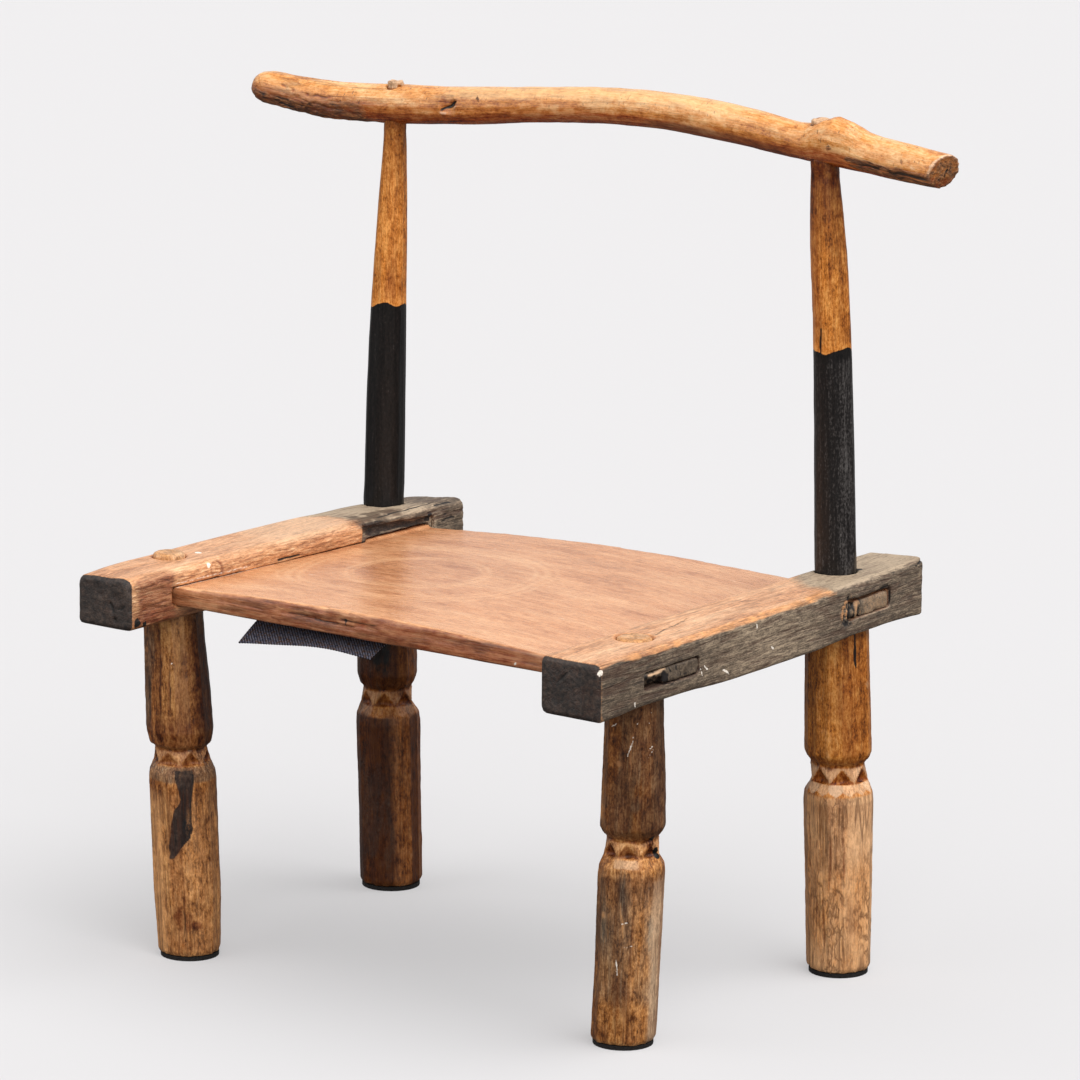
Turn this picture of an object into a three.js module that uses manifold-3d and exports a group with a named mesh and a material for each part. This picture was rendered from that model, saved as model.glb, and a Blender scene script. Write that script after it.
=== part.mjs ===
// A low hand-hewn chair: two side rails, a crowned seat board, four carved legs, two back posts
// and a natural bent branch as the crest rail. Millimetres, +Z up, +Y towards the back, and left
// and right as seen from the front. While it is built, the floor is z = 0 and x = y = 0 lies midway
// between the feet. At the end the whole chair is moved so that the origin lies on the floor under
// the middle of its bounding box.

import * as THREE from "three";
import { mergeVertices } from "three/addons/utils/BufferGeometryUtils.js";
import Module from "manifold-3d";

// Driving dimensions

// Room around a piece that passes through another, and under a leg that stands on its pad.
const FIT_GAP = 0.35;
const PAD_GAP = 0.3;

// inner and outer are the x of a rail's side faces at y = 0, and the slopes say how far they drift
// in x for each millimetre of y: the rails draw together to the rear. bulge bows the outer face,
// belly lowers the underside away from the legs, droop lowers the outer edge of the front end. From
// the start given in endTop to the rear end the top changes in height by change at the outer edge
// and by the share atInner at the inner edge.
const RAIL_UNDERSIDE = 269.5;
const RAIL_END_EASE = 3;
const RAIL_STATION = 24;
const LEFT_RAIL = {
  side: -1,
  front: -215,
  rear: 176,
  inner: -184,
  innerSlope: 0.0345,
  outer: -240.6,
  outerSlope: 0.02,
  bulge: 0,
  belly: 1.2,
  droop: 3,
  topFront: 309.3,
  topRear: 311.5,
  endTop: { start: -60, power: 3, change: -8.2, atInner: 0.12 },
  corners: { innerTop: 8, outerTop: 7.5, outerLow: 3.5, innerLow: 5 },
};
const RIGHT_RAIL = {
  side: 1,
  front: -213.5,
  rear: 220.5,
  inner: 187.2,
  innerSlope: -0.031,
  outer: 240,
  outerSlope: -0.036,
  bulge: 2.4,
  belly: 2.2,
  droop: 0,
  topFront: 310.4,
  topRear: 310.4,
  endTop: { start: 140, power: 1.5, change: 2.8, atInner: -0.3 },
  corners: { innerTop: 5, outerTop: 5.5, outerLow: 3, innerLow: 5 },
};
const SHOULDER_REACH = [26, 76];
const DROOP_REACH = 60;

// The seat board: front and rear are its edges at x = 0, which run askew by their slopes. The top
// is crowned across and falls a little to the rear, the underside is flat, and its ends are let
// into the rails.
const SEAT = {
  front: -161.5,
  frontSlope: 0.015,
  rear: 152.8,
  rearSlope: 0.105,
  underside: 280.3,
  crown: 299,
  fall: 0.007,
  crownX: -20,
  crownReach: 190,
  crownDrop: 7,
  crownPower: 1.8,
  housing: 3,
  topEase: 1.4,
  lowEase: 2.2,
  station: 24,
};

// Through-tenons of the seat board by their ends in y and their heights. before, behind and above
// say how much wider than the tenon its mortise was cut. A tenon starts inside the board's end and
// stops short of the rail's outer face, and its mortise runs from the housing past that face.
const TENON_ROOT = 1;
const TENON_SET_BACK = 0.8;
const MORTISE_ROOT = -6;
const MORTISE_PAST = 10;
const TENONS = [
  { rail: RIGHT_RAIL, from: -157.6, to: -89.4, low: 281.4, high: 294, before: 0, behind: 0, above: 0 },
  { rail: RIGHT_RAIL, from: 112.4, to: 169, low: 283, high: 296, before: 0, behind: 1.5, above: 1.5 },
  { rail: LEFT_RAIL, from: -164, to: -100, low: 281.6, high: 293.6, before: 3.6, behind: 0, above: 0.7 },
  { rail: LEFT_RAIL, from: 58, to: 133, low: 281.6, high: 294.5, before: 1, behind: 1, above: 1 },
];

// The front tenon on the right has lost the lower front corner of its end.
const BROKEN_TENON = { from: -160, to: -134, low: 280, high: 288, depth: 9 };

// On the left rail the rear mortise was cut too high, so a slot stays open over the seat board.
// Its roof falls by slant from the rail's face to the bottom of the slot.
const OPEN_MORTISE = { from: 52, to: 137, low: 291, frontTop: 306.5, rearTop: 301.5, slant: 1.5, depth: 9 };

// Every leg and post is hewn with this many long facets, two for each carved triangle.
const TRIANGLES = 7;
const FACETS = 2 * TRIANGLES;
const FACET_UNEVEN = 0.4;
const FACET_SWING = 0.05;

// The carving of a leg: where the chamfer over the lower block turns, as a share of its height, and
// how far in, how far over the feet of the triangles their pits lie and how deep, and the depth of
// the notch over them.
const CARVING = { chamferAt: 0.45, chamferInset: 0.6, pitRise: 1, pitDepth: 3.4, notchDepth: 0.8 };

// Each leg by its foot on the floor and the place of its axis at the height of 310. bow is how far
// the axis bulges to the right between its ends, phase the bearing of a triangle in degrees.
// heights and diameters go from the floor up: foot, lower block, foot and head of the carved band,
// notch, start and full width of the upper block, and the shoulder under the rail.
const AXIS_HEIGHT = 310;
const LEGS = {
  front_leg_left: {
    rail: LEFT_RAIL,
    foot: [-199.3, -138.3],
    head: [-221.3, -135.4],
    bow: 1.2,
    phase: -77.2,
    heights: { low: 50, block: 138, bandFoot: 152, bandHead: 162.4, notch: 164.2, upper: 167, full: 177 },
    diameters: {
      foot: 48.2,
      low: 51.6,
      block: 51.8,
      bandFoot: 43.6,
      bandHead: 40.6,
      upper: 47.6,
      full: 51.6,
      top: 46,
    },
    tenon: { diameter: 25, top: 313.2 },
  },
  front_leg_right: {
    rail: RIGHT_RAIL,
    foot: [199.7, -115.8],
    head: [214.7, -127.7],
    bow: 2,
    phase: -57.7,
    heights: { low: 60, block: 132, bandFoot: 147, bandHead: 158.6, notch: 160.4, upper: 163, full: 168 },
    diameters: {
      foot: 48.2,
      low: 48,
      block: 49.2,
      bandFoot: 41,
      bandHead: 38.6,
      upper: 43,
      full: 48,
      top: 42.6,
    },
    tenon: { diameter: 27, top: 311.2 },
  },
  rear_upright_left: {
    rail: LEFT_RAIL,
    foot: [-204.3, 115.4],
    head: [-218.9, 122.4],
    bow: 0,
    phase: -58.7,
    heights: { low: 60, block: 134, bandFoot: 149, bandHead: 160.5, notch: 162.4, upper: 165, full: 173 },
    diameters: {
      foot: 49.4,
      low: 49.8,
      block: 50.8,
      bandFoot: 41.5,
      bandHead: 39.2,
      upper: 43,
      full: 47.4,
      top: 45.8,
    },
  },
  rear_upright_right: {
    rail: RIGHT_RAIL,
    foot: [215.3, 138.8],
    head: [201.3, 145.8],
    bow: 0.8,
    phase: -44.7,
    heights: { low: 62, block: 134, bandFoot: 150, bandHead: 162, notch: 164, upper: 166.6, full: 172 },
    diameters: {
      foot: 48.6,
      low: 50.6,
      block: 53,
      bandFoot: 44,
      bandHead: 42,
      upper: 46.4,
      full: 51,
      top: 48.6,
    },
  },
};

// The upper block of a leg narrows to its shoulder: how much of the narrowing is done at which
// share of the block's height.
const NARROWING = [
  { height: 0.35, done: 0.3 },
  { height: 0.75, done: 0.9 },
];

// Edges of the hewn pieces: the rim of a foot, and the eased rim on top of a leg's tenon.
const FOOT_RIM = { height: 3, inset: 1.5 };
const TENON_RIM = { height: 1.6, inset: 2.5 };

// The back posts as [height, x, y, diameter]: through the rail, up the post to the shoulder under
// the branch, and the tenon that shows on top of the branch.
const POSTS = {
  rear_upright_left: {
    axis: [
      [AXIS_HEIGHT, -218.9, 122.4, 32.4],
      [400, -217.6, 123.3, 31],
      [470, -216.1, 124.3, 28.4],
      [530, -214.4, 125.6, 24.8],
      [580, -213, 126.6, 20],
      [609, -212.2, 127.3, 17.6],
    ],
    tenon: { diameter: 14.6, top: 647 },
  },
  rear_upright_right: {
    axis: [
      [AXIS_HEIGHT, 201.3, 145.8, 32.2],
      [380, 198.7, 145.9, 31.2],
      [450, 196.1, 145.7, 29.6],
      [510, 193.4, 145.1, 28.4],
      [560, 190.1, 144.3, 27.4],
      [615, 186.4, 143.3, 21.4],
    ],
    tenon: { diameter: 18.4, top: 654.5 },
  },
};

// How a post is divided: its plain collar over the rail, the first and last free ring, the step
// between them, the shoulder under the branch, the rim on top and the run that its lean is taken
// from. uneven says how far its facets differ.
const POST = {
  collar: 4,
  lowFree: 12,
  highFree: 8,
  station: 26,
  shoulderHeight: 0.8,
  rim: 1,
  leanRun: 20,
  uneven: 0.3,
};

// How far a cut for a post or leg is carried on past its ends.
const PASSAGE_RUN = 20;

// The crest branch: its axis as [x, height], its vertical thickness as [x, thickness], the straight
// line of its plan through both posts, and how far its right end turns to the front.
const BRANCH = {
  axis: [
    [-352, 627.8],
    [-334, 629.6],
    [-305, 627.2],
    [-270, 625.4],
    [-235, 626.6],
    [-200, 628.8],
    [-150, 632.7],
    [-93, 638.4],
    [-40, 643.3],
    [20, 646.9],
    [70, 645.7],
    [120, 641.4],
    [165, 636.1],
    [205, 633.3],
    [245, 629.8],
    [294, 626],
  ],
  thickness: [
    [-352, 26.6],
    [-320, 27.4],
    [-260, 30.4],
    [-150, 30],
    [-90, 28.2],
    [10, 28.2],
    [100, 30],
    [164, 28.2],
    [225, 29.4],
    [294, 26.4],
  ],
  planX: -212,
  planY: 127.4,
  planSlope: 0.0397,
  turnStart: 215,
  turnEnd: 375,
  turnFront: 10,
  sides: 16,
  station: 12,
  tipLength: 19,
  tipShares: [0.02, 0.12, 0.32, 0.62],
  cutLength: 12,
  cutSkewBack: 0.33,
  cutSkewUp: 0.27,
};
const KNOT = { x: 198.5, halfLength: 32, height: 10, lean: 0.3, narrowing: 1.5 };

// Thin round pads under the feet.
const PAD = { thickness: 3.2, inset: 1.6, sides: 28 };

// The woven cloth under the seat: a strip flat against the underside, then a flap that slopes down
// to the front and droops a little more at its left corner.
const CLOTH = {
  left: -132,
  right: -4,
  rear: -97,
  bend: -127,
  front: -161,
  frontHeight: 267.4,
  leftDroop: 7.5,
  droopPower: 4,
  sag: 1.5,
  thickness: 2.4,
  columns: 8,
};

const COLOURS = {
  rail: 0x9a6238,
  seat: 0xb0764a,
  leg: 0x7d5433,
  upright: 0x6b4426,
  branch: 0xb4733d,
  pad: 0x141312,
  cloth: 0x23222a,
};

// Solids and cuts

const wasm = await Module();
wasm.setup();

function toSolid(geometry) {
  const merged = mergeVertices(geometry, 1e-4);
  const vertProperties = new Float32Array(merged.getAttribute("position").array);
  const triVerts = new Uint32Array(merged.index.array);
  return new wasm.Manifold(new wasm.Mesh({ numProp: 3, vertProperties, triVerts }));
}

function toGeometry(solid) {
  const mesh = solid.getMesh();
  const geometry = new THREE.BufferGeometry();
  geometry.setAttribute("position", new THREE.BufferAttribute(new Float32Array(mesh.vertProperties), 3));
  geometry.setIndex(new THREE.BufferAttribute(new Uint32Array(mesh.triVerts), 1));
  return geometry;
}

function without(solid, cuts) {
  return cuts.reduce((rest, cut) => rest.subtract(cut), solid);
}

function signedVolume(points, triangles) {
  const cross = new THREE.Vector3();
  let total = 0;
  for (const [a, b, c] of triangles) {
    cross.crossVectors(points[b], points[c]);
    total += points[a].dot(cross) / 6;
  }
  return total;
}

function geometryFrom(points, triangles) {
  const outward = signedVolume(points, triangles) > 0;
  const geometry = new THREE.BufferGeometry();
  geometry.setFromPoints(points);
  geometry.setIndex(triangles.flatMap(([a, b, c]) => (outward ? [a, b, c] : [a, c, b])));
  return geometry;
}

function middleOf(points) {
  const middle = new THREE.Vector3();
  points.forEach((point) => middle.add(point));
  return middle.divideScalar(points.length);
}

// A closed body through rings of equal count, with its ends closed to their middles. Above a ring
// listed in folded the diagonals alternate, so that true triangles stand between the columns.
function loft(rings, folded = []) {
  const count = rings[0].length;
  const points = rings.flat();
  const triangles = [];
  for (let i = 0; i + 1 < rings.length; i += 1) {
    for (let j = 0; j < count; j += 1) {
      const next = (j + 1) % count;
      const a = i * count + j;
      const b = i * count + next;
      const c = a + count;
      const d = b + count;
      if (folded.includes(rings[i]) && j % 2 === 0) {
        triangles.push([a, b, c], [b, d, c]);
      } else {
        triangles.push([a, b, d], [a, d, c]);
      }
    }
  }
  const last = (rings.length - 1) * count;
  const start = points.push(middleOf(rings[0])) - 1;
  const end = points.push(middleOf(rings[rings.length - 1])) - 1;
  for (let j = 0; j < count; j += 1) {
    const next = (j + 1) % count;
    triangles.push([start, next, j], [end, last + j, last + next]);
  }
  return geometryFrom(points, triangles);
}

// Values between the listed stations, on a smooth curve through them.
function smooth(stations, at) {
  const last = stations.length - 1;
  const clamped = THREE.MathUtils.clamp(at, stations[0][0], stations[last][0]);
  let k = 0;
  while (k < last - 1 && stations[k + 1][0] < clamped) {
    k += 1;
  }
  const before = stations[Math.max(k - 1, 0)];
  const low = stations[k];
  const high = stations[k + 1];
  const after = stations[Math.min(k + 2, last)];
  const width = high[0] - low[0];
  const t = (clamped - low[0]) / width;
  const h00 = 2 * t ** 3 - 3 * t ** 2 + 1;
  const h10 = t ** 3 - 2 * t ** 2 + t;
  const h01 = 3 * t ** 2 - 2 * t ** 3;
  const h11 = t ** 3 - t ** 2;
  return low.slice(1).map((value, m) => {
    const slopeLow = (high[m + 1] - before[m + 1]) / (high[0] - before[0]);
    const slopeHigh = (after[m + 1] - value) / (after[0] - low[0]);
    return h00 * value + h10 * width * slopeLow + h01 * high[m + 1] + h11 * width * slopeHigh;
  });
}

function evenSteps(from, to, step) {
  const count = Math.max(1, Math.round((to - from) / step));
  return Array.from({ length: count + 1 }, (_, i) => from + ((to - from) * i) / count);
}

function box(low, high) {
  const size = new THREE.Vector3().subVectors(high, low);
  const geometry = new THREE.BoxGeometry(size.x, size.y, size.z);
  geometry.deleteAttribute("normal");
  geometry.deleteAttribute("uv");
  geometry.translate(low.x + size.x / 2, low.y + size.y / 2, low.z + size.z / 2);
  return geometry;
}

// The outline of a rectangle with its corners rounded, radii in the order of the corners: far u and
// far v first, then round with u falling first.
function roundedRectangle(u0, u1, v0, v1, radii) {
  const turns = [
    [u1, v1, -1, -1],
    [u0, v1, 1, -1],
    [u0, v0, 1, 1],
    [u1, v0, -1, 1],
  ];
  const steps = 3;
  return turns.flatMap(([u, v, inU, inV], quarter) =>
    Array.from({ length: steps + 1 }, (_, k) => {
      const radius = radii[quarter];
      const angle = ((quarter + k / steps) * Math.PI) / 2;
      return [u + radius * (inU + Math.cos(angle)), v + radius * (inV + Math.sin(angle))];
    }),
  );
}

// Side rails

function innerFace(rail, y) {
  return rail.inner + rail.innerSlope * y;
}

function outerFace(rail, y) {
  const half = (rail.rear - rail.front) / 2;
  const fromMiddle = (y - (rail.front + rail.rear) / 2) / half;
  return rail.outer + rail.outerSlope * y + rail.side * rail.bulge * (1 - fromMiddle ** 2);
}

function fromNearestLeg(rail, y) {
  const legs = Object.values(LEGS).filter((leg) => leg.rail === rail);
  return Math.min(...legs.map((leg) => Math.abs(y - leg.head[1])));
}

function railRing(rail, y, inset) {
  const inner = innerFace(rail, y);
  const outer = outerFace(rail, y);
  const low = RAIL_UNDERSIDE + inset;
  const along = (y - rail.front) / (rail.rear - rail.front);
  const high = THREE.MathUtils.lerp(rail.topFront, rail.topRear, along) - inset;
  const { start, power, change, atInner } = rail.endTop;
  const rise = change * Math.max(0, (y - start) / (rail.rear - start)) ** power;
  const droop = rail.droop * Math.max(0, 1 - (y - rail.front) / DROOP_REACH) ** 2;
  const belly = rail.belly * THREE.MathUtils.smoothstep(fromNearestLeg(rail, y), ...SHOULDER_REACH);
  const { innerTop, outerTop, outerLow, innerLow } = rail.corners;
  const rightRadii = [outerTop, innerTop, innerLow, outerLow];
  const leftRadii = [innerTop, outerTop, outerLow, innerLow];
  const radii = rail.side > 0 ? rightRadii : leftRadii;
  const outline = roundedRectangle(
    Math.min(inner, outer) + inset,
    Math.max(inner, outer) - inset,
    low,
    high,
    radii.map((radius) => radius - inset / 2),
  );
  return outline.map(([x, z]) => {
    const outward = (x - inner) / (outer - inner);
    const upward = (z - low) / (high - low);
    const lift = rise * upward * THREE.MathUtils.lerp(atInner, 1, outward) - droop * upward * outward;
    return new THREE.Vector3(x, y, z + lift - belly * (1 - upward));
  });
}

function railBlank(rail) {
  const body = evenSteps(rail.front + RAIL_END_EASE, rail.rear - RAIL_END_EASE, RAIL_STATION);
  return loft([
    railRing(rail, rail.front, RAIL_END_EASE),
    ...body.map((y) => railRing(rail, y, 0)),
    railRing(rail, rail.rear, RAIL_END_EASE),
  ]);
}

// The slot that stays open over the seat board on the left.
function openMortise() {
  const { from, to, low, frontTop, rearTop, slant, depth } = OPEN_MORTISE;
  const section = (y, top) => {
    const face = innerFace(LEFT_RAIL, y);
    return [
      new THREE.Vector3(face - depth, y, low),
      new THREE.Vector3(face + depth, y, low),
      new THREE.Vector3(face + depth, y, top + slant),
      new THREE.Vector3(face - depth, y, top - slant),
    ];
  };
  return loft([section(from, frontTop), section(to, rearTop)]);
}

// Seat board

function seatTop(x, y) {
  const across = Math.abs((x - SEAT.crownX) / SEAT.crownReach);
  return SEAT.crown - SEAT.fall * y - SEAT.crownDrop * across ** SEAT.crownPower;
}

// One section of the board. At the ends it follows the slant of the rail that it is let into.
function seatRing(share, grow) {
  const end = (rail, y) => innerFace(rail, y) + rail.side * (SEAT.housing + grow);
  const place = (y) => THREE.MathUtils.lerp(end(LEFT_RAIL, y), end(RIGHT_RAIL, y), share);
  const x = place(0);
  const front = SEAT.front + SEAT.frontSlope * x - grow;
  const rear = SEAT.rear + SEAT.rearSlope * x + grow;
  const low = SEAT.underside - grow;
  const high = seatTop(x, 0) + grow;
  const { topEase, lowEase } = SEAT;
  return roundedRectangle(front, rear, low, high, [topEase, topEase, lowEase, lowEase]).map(([y, z]) => {
    const upward = (z - low) / (high - low);
    return new THREE.Vector3(place(y), y, z - SEAT.fall * y * upward);
  });
}

function seatBlank(grow) {
  const shares = evenSteps(0, 1, SEAT.station / (RIGHT_RAIL.inner - LEFT_RAIL.inner));
  return loft(shares.map((share) => seatRing(share, grow)));
}

// A block across a rail from root to tip, which are measured outwards from its faces.
function acrossRail(rail, ends, low, high, root, tip) {
  const section = (y) => {
    const inner = innerFace(rail, y) + rail.side * root;
    const outer = outerFace(rail, y) + rail.side * tip;
    return [
      new THREE.Vector3(inner, y, low),
      new THREE.Vector3(outer, y, low),
      new THREE.Vector3(outer, y, high),
      new THREE.Vector3(inner, y, high),
    ];
  };
  return loft([section(ends[0]), section(ends[1])]);
}

function tenonBlock({ rail, from, to, low, high }) {
  return acrossRail(rail, [from, to], low, high, TENON_ROOT, -TENON_SET_BACK);
}

function mortise({ rail, from, to, low, high, before, behind, above }) {
  const ends = [from - before - FIT_GAP, to + behind + FIT_GAP];
  return acrossRail(rail, ends, low - FIT_GAP, high + above + FIT_GAP, MORTISE_ROOT, MORTISE_PAST);
}

function brokenCorner() {
  const { from, to, low, high, depth } = BROKEN_TENON;
  const face = outerFace(RIGHT_RAIL, from);
  return box(new THREE.Vector3(face - depth, from, low), new THREE.Vector3(face + MORTISE_PAST, to, high));
}

// Legs and back posts

function degrees(angle) {
  return (angle * Math.PI) / 180;
}

function onCircle(centre, radius, angle) {
  const x = centre.x + radius * Math.cos(angle);
  const y = centre.y + radius * Math.sin(angle);
  return new THREE.Vector3(x, y, centre.z);
}

function column(leg, j) {
  return degrees(leg.phase) + (2 * Math.PI * j) / FACETS;
}

// A facetted ring about a centre. uneven says how far the facets differ, seed tells the legs apart,
// and the two waves only have to be out of step with each other.
function facetRing(leg, centre, diameter, uneven = 0, seed = 0) {
  return Array.from({ length: FACETS }, (_, j) => {
    const wobble = Math.sin(2.4 * j + 5 * seed) + Math.sin(1.1 * j * j + seed);
    const swing = uneven > 0 ? FACET_SWING * Math.sin(3.7 * j + 2 * seed) : 0;
    return onCircle(centre, diameter / 2 + uneven * wobble, column(leg, j) + swing);
  });
}

// A ring whose even or odd columns are the corners of a seven-sided outline, the rest its edges.
function sevenSided(leg, centre, diameter, cornersOdd) {
  const radius = diameter / 2;
  const flat = radius * Math.cos(Math.PI / TRIANGLES);
  return Array.from({ length: FACETS }, (_, j) => {
    const corner = (j % 2 === 1) === cornersOdd;
    return onCircle(centre, corner ? radius : flat, column(leg, j));
  });
}

// The bottoms of the cut triangles: even columns sink in, odd ones stay on the raised faces.
function pitRing(leg, centre, head, foot) {
  const share = CARVING.pitRise / (head[0].z - foot[0].z);
  return head.map((top, j) => {
    if (j % 2 === 1) {
      return new THREE.Vector3().lerpVectors(foot[j], top, share);
    }
    const edge = Math.hypot(foot[j].x - centre.x, foot[j].y - centre.y);
    return onCircle(centre, edge - CARVING.pitDepth, column(leg, j));
  });
}

// Centre of a leg at a height, relative to its foot.
function legCentre(leg, z) {
  const share = z / AXIS_HEIGHT;
  const bulge = leg.bow * Math.sin(Math.PI * Math.min(share, 1));
  const x = (leg.head[0] - leg.foot[0]) * share + bulge;
  const y = (leg.head[1] - leg.foot[1]) * share + bulge;
  return new THREE.Vector3(x, y, z);
}

// The rings of a leg from its foot to its shoulder under the rail, and the ring of the pits.
function legRings(leg, seed) {
  const { heights, diameters } = leg;
  const at = (z) => legCentre(leg, z);
  const hewn = (z, diameter) => facetRing(leg, at(z), diameter, FACET_UNEVEN, seed);
  const start = PAD.thickness + PAD_GAP;
  const shoulder = RAIL_UNDERSIDE - FIT_GAP;
  const chamfer = THREE.MathUtils.lerp(heights.block, heights.bandFoot, CARVING.chamferAt);
  const bandFoot = sevenSided(leg, at(heights.bandFoot), diameters.bandFoot + 1, true);
  const bandHead = sevenSided(leg, at(heights.bandHead), diameters.bandHead + 1, false);
  const pits = pitRing(leg, at(heights.bandFoot + CARVING.pitRise), bandHead, bandFoot);
  const narrowed = NARROWING.map(({ height, done }) =>
    hewn(
      THREE.MathUtils.lerp(heights.full, shoulder, height),
      THREE.MathUtils.lerp(diameters.full, diameters.top, done),
    ),
  );
  const rings = [
    hewn(start, diameters.foot - 2 * FOOT_RIM.inset),
    hewn(start + FOOT_RIM.height, diameters.foot),
    hewn(heights.low, diameters.low),
    hewn(heights.block, diameters.block),
    facetRing(leg, at(chamfer), diameters.block - 2 * CARVING.chamferInset, FACET_UNEVEN / 2, seed),
    bandFoot,
    pits,
    bandHead,
    facetRing(leg, at(heights.notch), diameters.bandHead - 2 * CARVING.notchDepth),
    facetRing(leg, at(heights.upper), diameters.upper, FACET_UNEVEN / 2, seed),
    hewn(heights.full, diameters.full),
    ...narrowed,
    hewn(shoulder, diameters.top),
  ];
  return { rings, pits };
}

// The round part of a leg or post above the shoulder, or with grow the hole that it needs.
function tenonRings(leg, grow) {
  const { diameter, top } = leg.tenon;
  const ring = (z, inset) => facetRing(leg, legCentre(leg, z), diameter + 2 * (grow - inset));
  const shoulder = RAIL_UNDERSIDE - FIT_GAP;
  return [ring(shoulder, 0), ring(top - TENON_RIM.height, 0), ring(top, grow > 0 ? 0 : TENON_RIM.inset)];
}

// A back post from the leg's shoulder up, or with grow the hole that it needs.
function postRings(leg, post, grow, seed) {
  const { axis, tenon } = post;
  const shoulder = axis[axis.length - 1][0];
  const [endX, endY] = axis[axis.length - 1].slice(1);
  const inRail = [RAIL_UNDERSIDE - FIT_GAP, AXIS_HEIGHT + POST.collar];
  const free = evenSteps(inRail[1] + POST.lowFree, shoulder - POST.highFree, POST.station);
  const place = (z) => {
    const [x, y] = smooth(axis, z);
    return z < AXIS_HEIGHT ? legCentre(leg, z) : new THREE.Vector3(x - leg.foot[0], y - leg.foot[1], z);
  };
  const round = (z, diameter, uneven) => facetRing(leg, place(z), diameter + 2 * grow, uneven, seed);
  const inBranch = (z, diameter) => {
    const lean = ((z - shoulder) * (endX - smooth(axis, shoulder - POST.leanRun)[0])) / POST.leanRun;
    const centre = new THREE.Vector3(endX - leg.foot[0] + lean, endY - leg.foot[1], z);
    return facetRing(leg, centre, diameter + 2 * grow);
  };
  return [
    ...inRail.map((z) => round(z, axis[0][3], 0)),
    ...free.map((z) => round(z, smooth(axis, z)[2], grow > 0 ? 0 : POST.uneven)),
    round(shoulder, axis[axis.length - 1][3], 0),
    inBranch(shoulder + POST.shoulderHeight, tenon.diameter),
    inBranch(tenon.top - POST.rim, tenon.diameter),
    inBranch(tenon.top, tenon.diameter - (grow > 0 ? 0 : 2 * POST.rim)),
  ];
}

function legBody(leg, post, seed) {
  const { rings, pits } = legRings(leg, seed);
  const above = post ? postRings(leg, post, 0, seed) : tenonRings(leg, 0);
  return loft([...rings, ...above], [pits]);
}

// What a piece leaves where it passes through a rail or the branch: its own form, a little larger
// and carried on at both ends.
function passage(leg, post) {
  const rings = post ? postRings(leg, post, FIT_GAP, 0) : tenonRings(leg, FIT_GAP);
  const shift = (ring, rise) => ring.map((point) => point.clone().setZ(point.z + rise));
  const below = shift(rings[0], -PASSAGE_RUN);
  const above = shift(rings[rings.length - 1], PASSAGE_RUN);
  const geometry = loft([below, ...rings, above]);
  geometry.translate(leg.foot[0], leg.foot[1], 0);
  return geometry;
}

// Crest branch

function branchCentre(x) {
  const turned = BRANCH.turnFront * THREE.MathUtils.smoothstep(x, BRANCH.turnStart, BRANCH.turnEnd);
  const y = BRANCH.planY + BRANCH.planSlope * (x - BRANCH.planX) - turned;
  return new THREE.Vector3(x, y, smooth(BRANCH.axis, x)[0]);
}

// The swelling over the right post, strongest on top and a little to the front.
function knotSwell(x, angle) {
  const along = (x - KNOT.x) / KNOT.halfLength;
  if (Math.abs(along) >= 1) {
    return 0;
  }
  const up = Math.max(0, Math.cos(angle - Math.PI / 2 + KNOT.lean));
  return KNOT.height * Math.cos((Math.PI * along) / 2) ** 2 * up ** KNOT.narrowing;
}

// A ring square to the branch. scale shrinks it at the tip, the skews slant it like a saw cut.
function branchRing(x, scale = 1, skewBack = 0, skewUp = 0) {
  const centre = branchCentre(x);
  const tangent = new THREE.Vector3().subVectors(branchCentre(x + 1), branchCentre(x - 1)).normalize();
  const back = new THREE.Vector3(0, 0, 1).cross(tangent).normalize();
  const up = new THREE.Vector3().crossVectors(tangent, back);
  const radius = smooth(BRANCH.thickness, x)[0] / 2;
  return Array.from({ length: BRANCH.sides }, (_, j) => {
    const angle = (2 * Math.PI * j) / BRANCH.sides;
    const r = (radius + knotSwell(x, angle)) * scale;
    const toFront = Math.cos(angle) * r;
    const over = Math.sin(angle) * r;
    const along = skewUp * over - skewBack * toFront;
    return centre
      .clone()
      .addScaledVector(back, -toFront)
      .addScaledVector(up, over)
      .addScaledVector(tangent, along);
  });
}

function branchBlank() {
  const [start] = BRANCH.axis[0];
  const [end] = BRANCH.axis[BRANCH.axis.length - 1];
  const tip = BRANCH.tipShares.map((share) =>
    branchRing(start + BRANCH.tipLength * share, Math.sqrt(1 - (1 - share) ** 2)),
  );
  const body = evenSteps(start + BRANCH.tipLength, end - BRANCH.cutLength, BRANCH.station);
  const cut = branchRing(end, 1, BRANCH.cutSkewBack, BRANCH.cutSkewUp);
  return loft([...tip, ...body.map((x) => branchRing(x)), cut]);
}

// Foot pads and cloth

function footPad(leg) {
  const radius = leg.diameters.foot / 2 - PAD.inset;
  const pad = new THREE.CylinderGeometry(radius, radius, PAD.thickness, PAD.sides);
  pad.rotateX(Math.PI / 2);
  pad.translate(0, 0, PAD.thickness / 2);
  return pad;
}

function clothSolid() {
  const level = SEAT.underside - PAD_GAP;
  return loft(
    evenSteps(0, 1, 1 / CLOTH.columns).map((share) => {
      const x = THREE.MathUtils.lerp(CLOTH.left, CLOTH.right, share);
      const low = CLOTH.frontHeight - CLOTH.leftDroop * (1 - share) ** CLOTH.droopPower;
      const middleY = (CLOTH.bend + CLOTH.front) / 2;
      const middleZ = (level + low) / 2 + CLOTH.sag;
      const upper = [
        [CLOTH.rear, level],
        [CLOTH.bend, level],
        [middleY, middleZ],
        [CLOTH.front, low],
      ];
      const lower = upper.map(([y, z]) => [y, z - CLOTH.thickness]).reverse();
      return [...upper, ...lower].map(([y, z]) => new THREE.Vector3(x, y, z));
    }),
  );
}

// Assembly

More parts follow.
